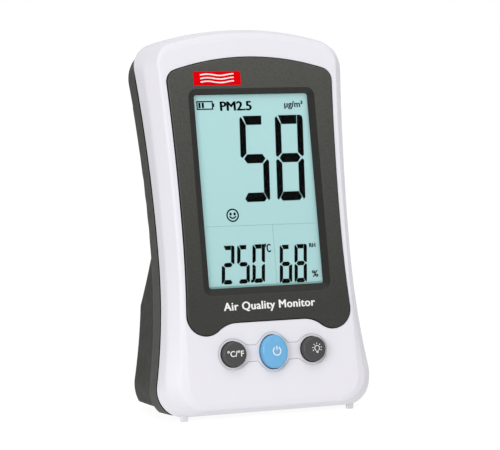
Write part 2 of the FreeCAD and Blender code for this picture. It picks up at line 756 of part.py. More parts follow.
def finish_stem(body, x):
    stem = new_sketch(body, dims.stem_back)
    draw_circle(stem, x, dims.button_level, dims.stem_radius)
    pad(body, stem, dims.flange_front - dims.stem_back)
    return body


def make_switch_plunger(name, side):
    return rod(name, dims.stem_radius, dims.stem_back - dims.plunger_back,
               (dims.button_pitch * side, dims.button_level, dims.plunger_back))


def make_button_switches():
    switches = []
    for side in (-1, 0, 1):
        x = dims.button_pitch * side
        case = middle_block("switch_case", dims.switch_side, x,
                            dims.button_level - dims.switch_side / 2, dims.switch_side,
                            dims.board_front, dims.switch_front)
        bore = rod("switch_hole", dims.switch_bore, dims.switch_front,
                   (x, dims.button_level, dims.switch_floor))
        switches.append(cut("switch", case, bore))
    return bundle("button_switches", switches)


# ---------------------------------------------------------------- boards and board parts

def make_main_board():
    middle = dims.board_base + dims.board_height / 2
    body = new_body("main_board")
    sketch = new_sketch(body, dims.board_back)
    draw_rounded(sketch, dims.board_width, dims.board_height, middle, dims.board_corner)
    pad(body, sketch, dims.board_front - dims.board_back)
    holes = new_sketch(body, dims.board_back)
    for x, y in post_places():
        draw_circle(holes, x, y, dims.board_hole)
    pocket(body, holes, dims.board_front - dims.board_back, reverse=True)
    return body


def make_board_screws():
    screws = []
    for x, y in post_places():
        head = rod("board_screw_top", dims.board_screw_head, dims.board_screw_rise,
                   (x, y, dims.board_back - dims.board_screw_rise))
        shank = rod("board_screw_shank", dims.board_screw_radius, dims.board_screw_length,
                    (x, y, dims.board_back - 0.1))
        screws.append(join("board_screw", [head, shank]))
    return bundle("board_screws", screws)


def make_board_chips():
    back = dims.board_back - dims.chip_rise
    chips = [middle_block("controller", dims.chip_side, 4, dims.chip_level, dims.chip_side,
                          back, dims.board_back),
             middle_block("charger", dims.chip_side / 2, 18, dims.chip_level,
                          dims.chip_side / 2, back, dims.board_back),
             middle_block("memory", dims.chip_side / 2, -8, dims.chip_level - dims.chip_side,
                          dims.chip_side / 2, back, dims.board_back)]
    return bundle("board_chips", chips)


def make_buzzer():
    disc = rod("buzzer_disc", dims.buzzer_radius, dims.buzzer_rise,
               (dims.buzzer_x, dims.buzzer_level, dims.board_back - dims.buzzer_rise))
    hole = rod("buzzer_hole", dims.board_screw_radius, dims.buzzer_rise / 2,
               (dims.buzzer_x, dims.buzzer_level, dims.board_back - dims.buzzer_rise))
    return cut("buzzer", disc, hole)


# ---------------------------------------------------------------- battery

def make_battery():
    body = new_body("battery_cell")
    sketch = new_sketch(body, dims.battery_back)
    draw_rounded(sketch, dims.battery_width, dims.battery_height,
                 dims.battery_base + dims.battery_height / 2, dims.battery_rounding * 2)
    pad(body, sketch, dims.battery_front - dims.battery_back)
    levels = (dims.battery_back, dims.battery_front)
    round_edges(body, lambda edge: any(lies_at(level)(edge) for level in levels),
                dims.battery_rounding)
    return body


def make_battery_tape():
    back = dims.battery_back - dims.tape_thickness
    return middle_block("battery_tape", dims.battery_width * 0.8, 0, dims.battery_base + 4,
                        dims.battery_height * 0.8, back, dims.battery_back)


def make_battery_leads():
    start = dims.battery_base + dims.battery_height
    leads = [rod("lead", dims.lead_radius, dims.plug_base - start,
                 (dims.lead_x + dims.lead_pitch / 2 * side, start, dims.lead_level), tilt=-90)
             for side in (-1, 1)]
    return bundle("battery_leads", leads)


def make_battery_plug():
    return middle_block("battery_plug", dims.plug_width, dims.lead_x, dims.plug_base,
                        dims.plug_height, dims.plug_back, dims.board_back)


# ---------------------------------------------------------------- rear shell

def rear_base():
    """Height of the rear shell's level underside in the room."""
    return dims.ground + dims.base_clearance


def base_at(depth, wall=0):
    """Up-the-face height of the level underside, this deep behind the seam."""
    return ((rear_base() + wall) + as_dim(depth) * sine_of(dims.lean)) / cosine_of(dims.lean)


def bulge_corners(wall):
    """Side profile of the bulge, as (up the face, out of the face), drawn in by wall.

    Its shoulder slopes down and back, its back leans out to the foot, and its base is
    level with the table when the monitor leans back."""
    wall = as_dim(wall)
    inside = dims.tray_depth - 3
    run_on = (dims.shoulder_top - dims.shoulder_foot) / (dims.shoulder_depth - dims.tray_depth)
    foot = dims.bulge_foot_depth - wall
    return [(base_at(inside, wall), -inside),
            (dims.shoulder_top + run_on * 3 - wall * 1.45, -inside),
            (dims.shoulder_foot - wall * 0.6, wall - dims.shoulder_depth),
            (base_at(foot, wall), -foot)]


def make_bulge(name, wall, inset_from_seam, rounding=None):
    """Solid bulge: its side profile across the full width, trimmed to the shell's plan."""
    slab = new_body(name + "_profile")
    sketch = new_sketch(slab, role="YZ_Plane")
    draw_polygon(sketch, bulge_corners(wall))
    profile = pad(slab, sketch, dims.seam_waist * 3)
    profile.Midplane = True
    plan = new_body(name + "_plan")
    sizes = inset(outline_sizes("seam"), inset_from_seam)
    sizes["low_corner"] = as_dim(dims.bulge_corner)
    outline = outline_sketch(plan, sizes)
    pad(plan, outline, dims.bulge_foot_depth + 5, reverse=True)
    trimmed = common(name, slab, plan)
    if rounding is None:
        return trimmed
    limit = -(dims.tray_depth.value + 0.5)

    def outer_edge(edge):
        return edge.BoundBox.ZMin < limit and edge.Length > 3.0

    return soften(name + "_rounded", trimmed, outer_edge, rounding)


def shoulder_angle():
    rise = dims.shoulder_top.value - dims.shoulder_foot.value
    drop = dims.shoulder_depth.value - dims.tray_depth.value
    return math.degrees(math.atan2(drop, rise))


def vent_tools():
    tools = []
    middle_y = (dims.shoulder_top + dims.shoulder_foot) / 2
    middle_z = -(dims.tray_depth + dims.shoulder_depth) / 2
    tilt = shoulder_angle()
    cosine, sine = math.cos(math.radians(tilt)), math.sin(math.radians(tilt))
    count = int(dims.slot_count.value)
    deep = 6.0
    for n in range(count):
        x = dims.slot_pitch * (n - (count - 1) / 2) - dims.slot_width / 2
        # a slot lies along the shoulder, so its box is turned to the shoulder's slope
        low_y = middle_y - dims.slot_length * (cosine / 2) - deep / 2 * sine
        low_z = middle_z - dims.slot_length * (sine / 2) + -deep / 2 * cosine
        slot = block("shoulder_slot", (dims.slot_width, dims.slot_length, deep),
                     (x, low_y + deep * sine, low_z), tilt=tilt)
        tools.append(slot)
    for n in range(int(dims.louvre_count.value)):
        for side in (-1, 1):
            tools.append(block("louvre", (dims.louvre_width, dims.louvre_height, 12),
                               (dims.louvre_x * side - dims.louvre_width / 2,
                                dims.louvre_low + dims.louvre_pitch * n,
                                -dims.bulge_foot_depth - 3)))
    for n in range(int(dims.top_slot_count.value)):
        shift = dims.top_slot_pitch * (n - (dims.top_slot_count.value - 1) / 2)
        tools.append(block("top_slot", (dims.louvre_height, dims.top_slot_length, 6),
                           (dims.top_slot_x + shift - dims.louvre_height / 2,
                            dims.top_slot_low, -dims.tray_depth - 2)))
    return tools


def below_level(name, up):
    """Everything behind the seam and below this height in the room."""
    return upright_block(name, dims.seam_waist * 3, 0, dims.reveal_inset, 60, up - 10, 10)


def rear_webs():
    """Thin walls inside the rear shell that carry the two boards and the dust sensor."""
    thin = dims.web_thickness
    board_under = dims.socket_base - dims.charge_board_thickness
    webs = [middle_block("sensor_web", thin, dims.sensor_x + dims.sensor_width / 2 + thin,
                         dims.web_base, dims.web_height, dims.sensor_back - 2.2,
                         dims.web_front)]
    for side in (-1, 1):
        webs.append(middle_block("charge_board_web", thin,
                                 dims.socket_x + (dims.charge_board_width / 2 - 2) * side,
                                 dims.web_foot, board_under - dims.web_foot,
                                 dims.charge_board_back + 1, dims.charge_board_front - 1))
        webs.append(middle_block("sensor_foot_web", thin,
                                 dims.sensor_x + (dims.sensor_width / 2 - 6) * side,
                                 dims.web_foot, dims.sensor_base - dims.web_foot,
                                 dims.sensor_back + 1, dims.sensor_front - 1))
        webs.append(middle_block("climate_web", thin,
                                 dims.climate_x + (dims.climate_width / 2 - 1) * side,
                                 dims.climate_base + 2, dims.climate_height - 4,
                                 dims.climate_stand_back, dims.climate_back))
    return webs


def tray_sizes():
    """The seam's outline with a lower top and rounder top corners, for the rear tray."""
    sizes = outline_sizes("seam")
    sizes["top"] = as_dim(dims.tray_top)
    sizes["top_corner"] = as_dim(dims.tray_top_corner)
    return sizes


def make_rear_shell():
    tray = new_body("tray")
    edge = tray_sizes()
    reveal = outline_sketch(tray, inset(edge, dims.reveal_inset))
    pad(tray, reveal, dims.reveal_depth + 0.5, reverse=True)
    wall = outline_sketch(tray, edge, -dims.reveal_depth)
    pad(tray, wall, dims.tray_depth - dims.reveal_depth, reverse=True)
    round_edges(tray, lies_at(-dims.tray_depth), dims.tray_rounding)

    level_tray = cut("level_tray", tray, below_level("tray_trim", rear_base()))
    bulge = make_bulge("bulge", 0, dims.bulge_inset, dims.bulge_rounding)
    solid = join("rear_solid", [level_tray, bulge])

    hollow = new_body("tray_hollow")
    inside = outline_sketch(hollow, inset(edge, dims.shell_wall))
    pad(hollow, inside, dims.tray_depth - dims.bulge_wall, reverse=True)
    level_hollow = cut("level_hollow", hollow,
                       below_level("hollow_trim", rear_base() + dims.bulge_wall))
    inner = make_bulge("bulge_hollow", dims.bulge_wall, dims.bulge_inset + dims.bulge_wall)
    shell = cut("rear_hollow", solid, join("hollow_space", [level_hollow, inner]))

    bosses = [rod("rear_boss", dims.rear_boss_radius, dims.tray_depth - dims.bulge_wall / 2,
                  (x, y, -(dims.tray_depth - dims.bulge_wall / 2))) for x, y in boss_places()]
    filled = join("rear_with_bosses", [shell] + bosses + rear_webs())

    tools = vent_tools()
    for x, y in boss_places():
        tools.append(rod("screw_way", dims.screw_hole, dims.tray_depth + 2,
                         (x, y, -dims.tray_depth - 1)))
        tools.append(rod("screw_recess", dims.screw_well, dims.screw_well_depth + 1,
                         (x, y, -dims.tray_depth - 1)))
    gap = dims.socket_gap
    tools.append(middle_block("socket_port", dims.socket_width + gap * 2, dims.socket_x,
                              dims.socket_base - gap, dims.socket_height + gap * 2,
                              dims.socket_mouth - 3, dims.socket_mouth + dims.socket_length))
    tools.append(middle_block("label_recess", dims.label_width + 0.4, 0, dims.label_base - 0.2,
                              dims.label_height + 0.4, -dims.tray_depth - 1,
                              -dims.tray_depth + dims.label_thickness))
    tools += [foot_rod("pad_recess", side, dims.pad_radius + 0.15) for side in (-1, 1)]
    return cut("rear_shell_cut", filled, join("rear_tools", tools))


def foot_rod(name, side, radius):
    """Upright rod from the table to its recess in the rear shell's underside."""
    return upright_rod(name, radius, dims.pad_x * side, dims.pad_back, dims.ground,
                       dims.base_clearance + dims.pad_recess)


def make_rear_feet():
    return bundle("rear_feet", [foot_rod("rear_foot", side, dims.pad_radius)
                                for side in (-1, 1)])


def make_case_screws():
    screws = []
    for x, y in boss_places():
        seat = -dims.tray_depth + dims.screw_well_depth
        head = rod("screw_top", dims.screw_head, dims.screw_head_rise,
                   (x, y, seat - dims.screw_head_rise))
        shank = rod("screw_shank", dims.screw_radius, dims.screw_length,
                    (x, y, seat - 0.1))
        groove = block("screw_drive", (dims.screw_head * 1.2, 0.6, 0.8),
                       (x - dims.screw_head * 0.6, y - 0.3, seat - dims.screw_head_rise - 0.1))
        cross = block("screw_drive_cross", (0.6, dims.screw_head * 1.2, 0.8),
                      (x - 0.3, y - dims.screw_head * 0.6, seat - dims.screw_head_rise - 0.1))
        screws.append(cut("case_screw", join("case_screw_blank", [head, shank]),
                          join("case_screw_cross", [groove, cross])))
    return bundle("case_screws", screws)


def make_rear_label():
    return middle_block("rear_label", dims.label_width, 0, dims.label_base, dims.label_height,
                        -dims.tray_depth, -dims.tray_depth + dims.label_thickness)


# ---------------------------------------------------------------- dust sensor

def make_sensor_case():
    box = middle_block("sensor_block", dims.sensor_width, dims.sensor_x, dims.sensor_base,
                       dims.sensor_height, dims.sensor_back, dims.sensor_front)
    inner = middle_block("sensor_room", dims.sensor_width - dims.sensor_wall * 2, dims.sensor_x,
                         dims.sensor_base + dims.sensor_wall,
                         dims.sensor_height - dims.sensor_wall * 2,
                         dims.sensor_back + dims.sensor_wall, dims.sensor_front + 1)
    fan_port = rod("fan_port", dims.fan_port_radius, 5,
                   (dims.fan_x, dims.fan_level, dims.sensor_back - 1))
    inlet = middle_block("sensor_inlet", dims.laser_length, dims.laser_x,
                         dims.sensor_base + 4, dims.sensor_height / 2,
                         dims.sensor_back - 1, dims.sensor_back + 4)
    room = join("sensor_space", [inner, fan_port, inlet])
    shell = cut("sensor_hollow", box, room)
    # three spokes carry the fan's shaft over the fan port
    spokes = [middle_block("fan_spoke", dims.fan_port_radius * 2.1, dims.fan_x,
                           dims.fan_level - 0.6, 1.2, dims.sensor_back,
                           dims.sensor_back + dims.sensor_wall),
              middle_block("fan_spoke_up", 1.2, dims.fan_x,
                           dims.fan_level - dims.fan_port_radius * 1.05,
                           dims.fan_port_radius * 2.1, dims.sensor_back,
                           dims.sensor_back + dims.sensor_wall),
              rod("fan_seat", dims.fan_hub - 1.5, dims.sensor_wall,
                  (dims.fan_x, dims.fan_level, dims.sensor_back))]
    whole = join("sensor_with_spokes", [shell] + spokes)
    bore = rod("shaft_hole", dims.shaft_radius, dims.sensor_wall + 2,
               (dims.fan_x, dims.fan_level, dims.sensor_back - 1))
    return cut("sensor_case", whole, bore)


def make_sensor_lid():
    return middle_block("sensor_lid", dims.sensor_width, dims.sensor_x, dims.sensor_base,
                        dims.sensor_height, dims.sensor_front,
                        dims.sensor_front + dims.lid_thickness)


def make_sensor_board():
    margin = dims.sensor_wall + 0.3
    return middle_block("sensor_board", dims.sensor_width - margin * 2, dims.sensor_x,
                        dims.sensor_base + margin, dims.sensor_height - margin * 2,
                        dims.sensor_board_back, dims.sensor_board_front)


def make_laser_module():
    return rod("laser_module", dims.laser_radius, dims.laser_length,
               (dims.laser_x, dims.laser_level + dims.laser_length / -2, dims.laser_middle),
               tilt=-90)


def make_fan_rotor():
    """Centrifugal rotor: a hub, a back disc and curved-back blades in a ring."""
    depth = dims.fan_front - dims.fan_back
    foot = (dims.fan_x, dims.fan_level, dims.fan_back)
    hub = rod("fan_hub_body", dims.fan_hub, depth, foot)
    disc = rod("fan_disc", dims.fan_radius, 0.8,
               (dims.fan_x, dims.fan_level, dims.fan_front - 0.8))
    blades = []
    count = int(dims.blade_count.value)
    reach = dims.fan_radius - dims.fan_hub + 0.6
    for n in range(count):
        blade = doc.addObject("Part::Box", "fan_blade")
        blade.setExpression("Length", reach.formula)
        blade.setExpression("Width", dims.blade_thickness.formula)
        blade.setExpression("Height", depth.formula)
        turn = Placement(Vector(dims.fan_x.value, dims.fan_level.value, dims.fan_back.value),
                         Rotation(Vector(0, 0, 1), 360.0 * n / count))
        lay_back = Placement(Vector(dims.fan_hub.value - 0.7, 0, 0),
                             Rotation(Vector(0, 0, 1), -14))
        blade.Placement = turn.multiply(lay_back)
        blades.append(blade)
    whole = join("rotor_blank", [hub, disc] + blades)
    bore = rod("rotor_bore", dims.fan_bore, depth + 2,
               (dims.fan_x, dims.fan_level, dims.fan_back - 1))
    return cut("fan_rotor", whole, bore)


def make_fan_shaft():
    return rod("fan_shaft", dims.shaft_radius, dims.shaft_front - dims.sensor_back,
               (dims.fan_x, dims.fan_level, dims.sensor_back))


def make_sensor_gasket():
    """Foam frame that seals the sensor's air ports against the louvred back."""
    width = dims.sensor_width - dims.gasket_margin * 2
    low = dims.sensor_base + dims.gasket_margin
    wall = dims.gasket_wall
    outer = middle_block("gasket_outer", width, dims.sensor_x, low, dims.gasket_height,
                         dims.sensor_back - dims.gasket_thickness, dims.sensor_back)
    inner = middle_block("gasket_inner", width - wall * 2, dims.sensor_x, low + wall,
                         dims.gasket_height - wall * 2,
                         dims.sensor_back - dims.gasket_thickness - 1, dims.sensor_back + 1)
    return cut("sensor_gasket", outer, inner)


def make_sensor_ribbon():
    return middle_block("sensor_ribbon", dims.ribbon_width, dims.ribbon_x, dims.ribbon_level,
                        dims.ribbon_thickness, dims.sensor_front + dims.lid_thickness,
                        dims.board_back)


# ---------------------------------------------------------------- charging and climate boards

def make_charge_board():
    return middle_block("charge_board", dims.charge_board_width, dims.socket_x,
                        dims.socket_base - dims.charge_board_thickness,
                        dims.charge_board_thickness, dims.charge_board_back,
                        dims.charge_board_front)


def make_usb_socket():
    shell = middle_block("socket_shell", dims.socket_width, dims.socket_x, dims.socket_base,
                         dims.socket_height, dims.socket_mouth,
                         dims.socket_mouth + dims.socket_length)
    wall = dims.socket_wall
    room = middle_block("socket_room", dims.socket_width - wall * 2, dims.socket_x,
                        dims.socket_base + wall, dims.socket_height - wall * 2,
                        dims.socket_mouth - 1, dims.socket_mouth + dims.socket_length - wall)
    tongue = middle_block("socket_tongue", dims.tongue_width, dims.socket_x,
                          dims.socket_base + dims.socket_height / 2 - dims.tongue_height / 2,
                          dims.tongue_height, dims.socket_mouth + 1,
                          dims.socket_mouth + dims.socket_length)
    return join("usb_socket", [cut("socket_hollow", shell, room), tongue])


def make_charge_ribbon():
    return middle_block("charge_ribbon", dims.charge_ribbon_width, dims.socket_x,
                        dims.socket_base - dims.charge_board_thickness,
                        dims.ribbon_thickness, dims.charge_board_front, dims.board_back)


def make_climate_sensor():
    board = middle_block("climate_board", dims.climate_width, dims.climate_x,
                         dims.climate_base, dims.climate_height, dims.climate_back,
                         dims.climate_front)
    chip = middle_block("climate_chip_block", dims.climate_chip, dims.climate_x,
                        dims.climate_base + dims.climate_height / 2 - dims.climate_chip / 2,
                        dims.climate_chip, dims.climate_back - dims.climate_chip_rise,
                        dims.climate_back)
    return join("climate_sensor", [board, chip])


def make_climate_ribbon():
    return middle_block("climate_ribbon", dims.climate_ribbon_width, dims.climate_x,
                        dims.climate_base + 1, dims.ribbon_thickness, dims.climate_front,
                        dims.board_back)


# ---------------------------------------------------------------- assembly

PIECES = {
    "front_shell": make_front_shell,
    "face_panel": make_face_panel,
    "display_window": make_display_window,
    "lcd_glass": make_lcd_glass,
    "light_guide": make_light_guide,
    "contact_strip": make_contact_strip,
    "display_holder": make_display_holder,
    "unit_button": lambda: make_round_button("unit_button", -1),
    "power_button": lambda: make_oval_button("power_button"),
    "light_button": lambda: make_round_button("light_button", 1),
    "unit_plunger": lambda: make_switch_plunger("unit_plunger", -1),
    "power_plunger": lambda: make_switch_plunger("power_plunger", 0),
    "light_plunger": lambda: make_switch_plunger("light_plunger", 1),
    "button_switches": make_button_switches,
    "main_board": make_main_board,
    "board_screws": make_board_screws,
    "board_chips": make_board_chips,
    "buzzer": make_buzzer,
    "battery_cell": make_battery,
    "battery_tape": make_battery_tape,
    "battery_leads": make_battery_leads,
    "battery_plug": make_battery_plug,
    "rear_shell": make_rear_shell,
    "rear_feet": make_rear_feet,
    "case_screws": make_case_screws,
    "rear_label": make_rear_label,
    "sensor_case": make_sensor_case,
    "sensor_lid": make_sensor_lid,
    "sensor_board": make_sensor_board,
    "laser_module": make_laser_module,
    "fan_rotor": make_fan_rotor,
    "fan_shaft": make_fan_shaft,
    "sensor_gasket": make_sensor_gasket,
    "sensor_ribbon": make_sensor_ribbon,
    "charge_board": make_charge_board,
    "usb_socket": make_usb_socket,
    "charge_ribbon": make_charge_ribbon,
    "climate_sensor": make_climate_sensor,
    "climate_ribbon": make_climate_ribbon,
}


def build_pieces():
    """Draw every piece in the face frame, and lean each back by its placement."""
    seated = {}
    for name, make in PIECES.items():
        drawn = make()
        drawn.Label = name + "_in_face_frame"
        piece = doc.addObject("Part::Compound", "seated_" + name)
        piece.Label = name
        piece.Links = [drawn]
        piece.Placement.Rotation = Rotation(Vector(1, 0, 0), -upright_tilt())
        piece.setExpression("Placement.Base.y", "sheet.seat_back")
        piece.setExpression("Placement.Base.z", (-dims.ground).formula)
        doc.recompute()
        seated[name] = piece
    return seated


def centre_front_to_back(pieces):
    """Set seat_back so that the whole stands front to back over the origin."""
    boxes = [piece.Shape.optimalBoundingBox(False) for piece in pieces.values()]
    front = min(box.YMin for box in boxes)
    back = max(box.YMax for box in boxes)
    cell = sheet.getCellFromAlias("seat_back")
    sheet.set(cell, "%.4f" % (-(front + back) / 2))
    doc.recompute()


def check_document(pieces):
    for item in doc.Objects:
        faults = [state for state in item.State if state in ("Invalid", "Error")]
        if faults:
            raise RuntimeError(item.Label + " is " + faults[0])
    for name, piece in pieces.items():
        if piece.Shape.isNull() or not piece.Shape.isValid() or not piece.Shape.Solids:
            raise RuntimeError(name + " has no valid solid")


def main():
    fill_sheet()
    pieces = build_pieces()
    centre_front_to_back(pieces)
    check_document(pieces)
    os.makedirs("parts", exist_ok=True)
    for name, piece in pieces.items():
        piece.Shape.exportStep("parts/%s.step" % name)


main()
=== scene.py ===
import math

import bmesh
import bpy
from mathutils import Matrix, Vector


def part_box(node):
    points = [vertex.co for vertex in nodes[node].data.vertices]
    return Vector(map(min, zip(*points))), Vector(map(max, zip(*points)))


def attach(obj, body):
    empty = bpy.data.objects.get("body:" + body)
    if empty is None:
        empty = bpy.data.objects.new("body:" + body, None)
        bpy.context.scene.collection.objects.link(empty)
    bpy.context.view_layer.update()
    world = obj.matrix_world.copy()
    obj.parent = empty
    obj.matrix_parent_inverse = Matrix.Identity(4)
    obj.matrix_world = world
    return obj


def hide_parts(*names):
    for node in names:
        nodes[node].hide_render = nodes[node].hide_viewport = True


# The looks of a desktop air quality monitor.  Pieces are drawn in the face frame of the
# CAD model, in millimetres: x to the right, y up the face, z out of the face from the seam.

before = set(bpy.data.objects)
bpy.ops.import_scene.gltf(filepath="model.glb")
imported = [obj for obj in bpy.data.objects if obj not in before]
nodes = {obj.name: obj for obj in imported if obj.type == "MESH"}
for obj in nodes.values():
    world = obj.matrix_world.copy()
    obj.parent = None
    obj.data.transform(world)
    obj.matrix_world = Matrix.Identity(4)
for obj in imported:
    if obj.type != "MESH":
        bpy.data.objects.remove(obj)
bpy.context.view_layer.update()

LEAN = math.radians(12.46)
SEAT_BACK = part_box("rear_feet")[0].y - 0.0215
SEAT_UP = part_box("rear_feet")[0].z + 0.0015
TO_ROOM = Matrix((
    (0.001, 0, 0, 0),
    (0, 0.001 * math.sin(LEAN), -0.001 * math.cos(LEAN), SEAT_BACK),
    (0, 0.001 * math.cos(LEAN), 0.001 * math.sin(LEAN), SEAT_UP),
    (0, 0, 0, 1),
))


# ---------------------------------------------------------------- materials

def socket(shader, name, value):
    shader.inputs[name].default_value = value


class Look:
    """A node material built step by step; coordinates are the room's, in metres."""

    def __init__(self, name, colour, roughness, **settings):
        self.material = bpy.data.materials.new(name)
        self.material.use_nodes = True
        self.tree = self.material.node_tree
        self.shader = self.tree.nodes["Principled BSDF"]
        self.colour = (*colour, 1.0)
        socket(self.shader, "Base Color", self.colour)
        socket(self.shader, "Roughness", roughness)
        for key, value in settings.items():
            socket(self.shader, key.replace("_", " "), value)
        self.place = self.node("ShaderNodeTexCoord").outputs["Object"]
        self.height = None

    def node(self, kind, **settings):
        made = self.tree.nodes.new(kind)
        for key, value in settings.items():
            if hasattr(made, key):
                setattr(made, key, value)
            else:
                made.inputs[key.replace("_", " ")].default_value = value
        return made

    def link(self, output, target):
        self.tree.links.new(output, target)

    def noise(self, size, detail=2.0, roughness=0.5):
        """Noise whose features are about this many metres across."""
        made = self.node("ShaderNodeTexNoise", Scale=1.0 / size, Detail=detail,
                         Roughness=roughness)
        self.link(self.place, made.inputs["Vector"])
        return made.outputs["Fac"]

    def along(self, axis):
        """The room's X, Y or Z of each point, in metres."""
        made = self.node("ShaderNodeSeparateXYZ")
        self.link(self.place, made.inputs["Vector"])
        return made.outputs[axis]

    def face_depth(self):
        """How far each point lies in front of the seam, in metres."""
        made = self.node("ShaderNodeVectorMath", operation="DOT_PRODUCT")
        made.inputs[1].default_value = (0, -math.cos(LEAN), math.sin(LEAN))
        self.link(self.place, made.inputs[0])
        level = self.node("ShaderNodeMath", operation="SUBTRACT")
        level.inputs[1].default_value = SEAT_UP * math.sin(LEAN) - SEAT_BACK * math.cos(LEAN)
        self.link(made.outputs["Value"], level.inputs[0])
        return level.outputs["Value"]

    def shade(self, value, low, high, start, stop):
        """Paints light and shade into the colour: multiplies the colour so far by a share that
        follows this value.
        """
        share = self.spread(value, low, high, start, stop)
        whole = self.node("ShaderNodeMix", data_type="RGBA", blend_type="MULTIPLY")
        whole.inputs[0].default_value = 1.0
        grey = self.node("ShaderNodeCombineColor")
        for channel in grey.inputs:
            self.link(share, channel)
        self.link(self.shader.inputs["Base Color"].links[0].from_socket, whole.inputs[6])
        self.link(grey.outputs[0], whole.inputs[7])
        self.link(whole.outputs[2], self.shader.inputs["Base Color"])
        return self

    def spread(self, value, low, high, start=0.3, stop=0.7):
        made = self.node("ShaderNodeMapRange")
        made.inputs["From Min"].default_value = start
        made.inputs["From Max"].default_value = stop
        made.inputs["To Min"].default_value = low
        made.inputs["To Max"].default_value = high
        self.link(value, made.inputs["Value"])
        return made.outputs["Result"]

    def vary_roughness(self, value, low, high):
        self.link(self.spread(value, low, high), self.shader.inputs["Roughness"])
        return self

    def vary_colour(self, value, dark, light, start=0.3, stop=0.7):
        """Colour that wanders between two shares of the base colour."""
        mix = self.node("ShaderNodeMix", data_type="RGBA")
        mix.inputs[6].default_value = tuple(c * dark for c in self.colour[:3]) + (1,)
        mix.inputs[7].default_value = tuple(c * light for c in self.colour[:3]) + (1,)
        self.link(self.spread(value, 0, 1, start, stop), mix.inputs[0])
        self.link(mix.outputs[2], self.shader.inputs["Base Color"])
        return self

    def bump(self, value, depth):
        """Adds relief this many metres deep; several reliefs lie over each other."""
        made = self.node("ShaderNodeBump", Strength=1.0, Distance=depth)
        self.link(value, made.inputs["Height"])
        if self.height is not None:
            self.link(self.height, made.inputs["Normal"])
        self.height = made.outputs["Normal"]
        self.link(self.height, self.shader.inputs["Normal"])
        return self


def white_plastic():
    look = Look("white_plastic", (0.650, 0.640, 0.680), 0.5, Specular_IOR_Level=0.25)
    look.vary_roughness(look.noise(0.004, 3), 0.46, 0.54)
    look.vary_colour(look.noise(0.012, 2), 0.99, 1.0)
    look.bump(look.noise(0.0005, 2), 0.000006)
    return look


def panel_plastic():
    look = Look("panel_plastic", (0.031, 0.031, 0.027), 0.45, Specular_IOR_Level=0.36)
    look.vary_colour(look.noise(0.00045, 3, 0.7), 0.72, 1.30, 0.35, 0.65)
    # Painted light and shade: the panel is coloured lighter towards the top and darker towards
    # the bottom, standing in for how the light falls on it.
    look.shade(look.along("Z"), 0.72, 1.52, 0.045, 0.135)
    look.vary_roughness(look.noise(0.003, 2), 0.42, 0.50)
    look.bump(look.noise(0.00035, 2), 0.00004)
    return look


def bezel_plastic():
    look = Look("bezel_plastic", (0.014, 0.014, 0.012), 0.36, Specular_IOR_Level=0.28)
    look.vary_colour(look.noise(0.002, 2), 0.9, 1.1)
    look.bump(look.noise(0.0004, 2), 0.000008)
    return look


def rear_plastic():
    look = Look("rear_plastic", (0.052, 0.052, 0.047), 0.58, Specular_IOR_Level=0.25)
    look.vary_colour(look.noise(0.0005, 3, 0.7), 0.80, 1.20, 0.35, 0.65)
    look.vary_roughness(look.noise(0.004, 2), 0.54, 0.62)
    look.bump(look.noise(0.0004, 2), 0.00005)
    depth = look.face_depth()
    # Painted shade: the deep bulge, from about 11 mm behind the seam back, is coloured darker,
    # standing in for the shade on its side.
    look.shade(depth, 0.4, 1.0, -0.0118, -0.0108)
    # Painted shade: the shoulder in the reveal groove, within about 0.9 mm of the seam, is
    # coloured nearly black for the shade in the groove under the white shell.
    look.shade(depth, 1.0, 0.05, -0.00092, -0.00084)
    return look


def cap_plastic():
    look = Look("cap_plastic", (0.040, 0.041, 0.040), 0.42, Specular_IOR_Level=0.42)
    look.vary_colour(look.noise(0.0004, 3, 0.7), 0.82, 1.18, 0.35, 0.65)
    look.bump(look.noise(0.0003, 2), 0.00003)
    return look


def blue_plastic():
    look = Look("blue_plastic", (0.118, 0.345, 0.575), 0.36, Specular_IOR_Level=0.45,
                Subsurface_Weight=0.08, Subsurface_Scale=0.002)
    look.vary_colour(look.noise(0.003, 2), 0.97, 1.03)
    look.bump(look.noise(0.0004, 2), 0.000012)
    return look


def print_ink(name, colour, roughness=0.5, **settings):
    look = Look(name, colour, roughness, **settings)
    look.vary_colour(look.noise(0.0008, 3), 0.94, 1.03)
    look.bump(look.noise(0.0002, 1), 0.000003)
    return look


def lit_glass():
    look = Look("lit_glass", (0.285, 0.435, 0.45), 0.6, Specular_IOR_Level=0.05,
                Emission_Color=(0.45, 0.79, 0.75, 1), Emission_Strength=0.29)
    look.vary_colour(look.along("Z"), 0.96, 1.06, 0.05, 0.125)
    look.bump(look.noise(0.0006, 1), 0.000002)
    return look


def clear_window():
    look = Look("clear_window", (0.01, 0.012, 0.012), 0.05, Alpha=0.04, IOR=1.45)
    look.vary_roughness(look.noise(0.01, 2), 0.04, 0.07)
    return look


def metal(name, colour, roughness):
    look = Look(name, colour, roughness, Metallic=1.0)
    look.vary_roughness(look.noise(0.0006, 3), roughness * 0.8, roughness * 1.25)
    look.bump(look.noise(0.0003, 2), 0.000006)
    return look


def plain(name, colour, roughness, grain=0.0006, depth=0.00002, **settings):
    look = Look(name, colour, roughness, **settings)
    look.vary_colour(look.noise(grain, 3), 0.86, 1.1)
    look.bump(look.noise(grain, 2), depth)
    return look


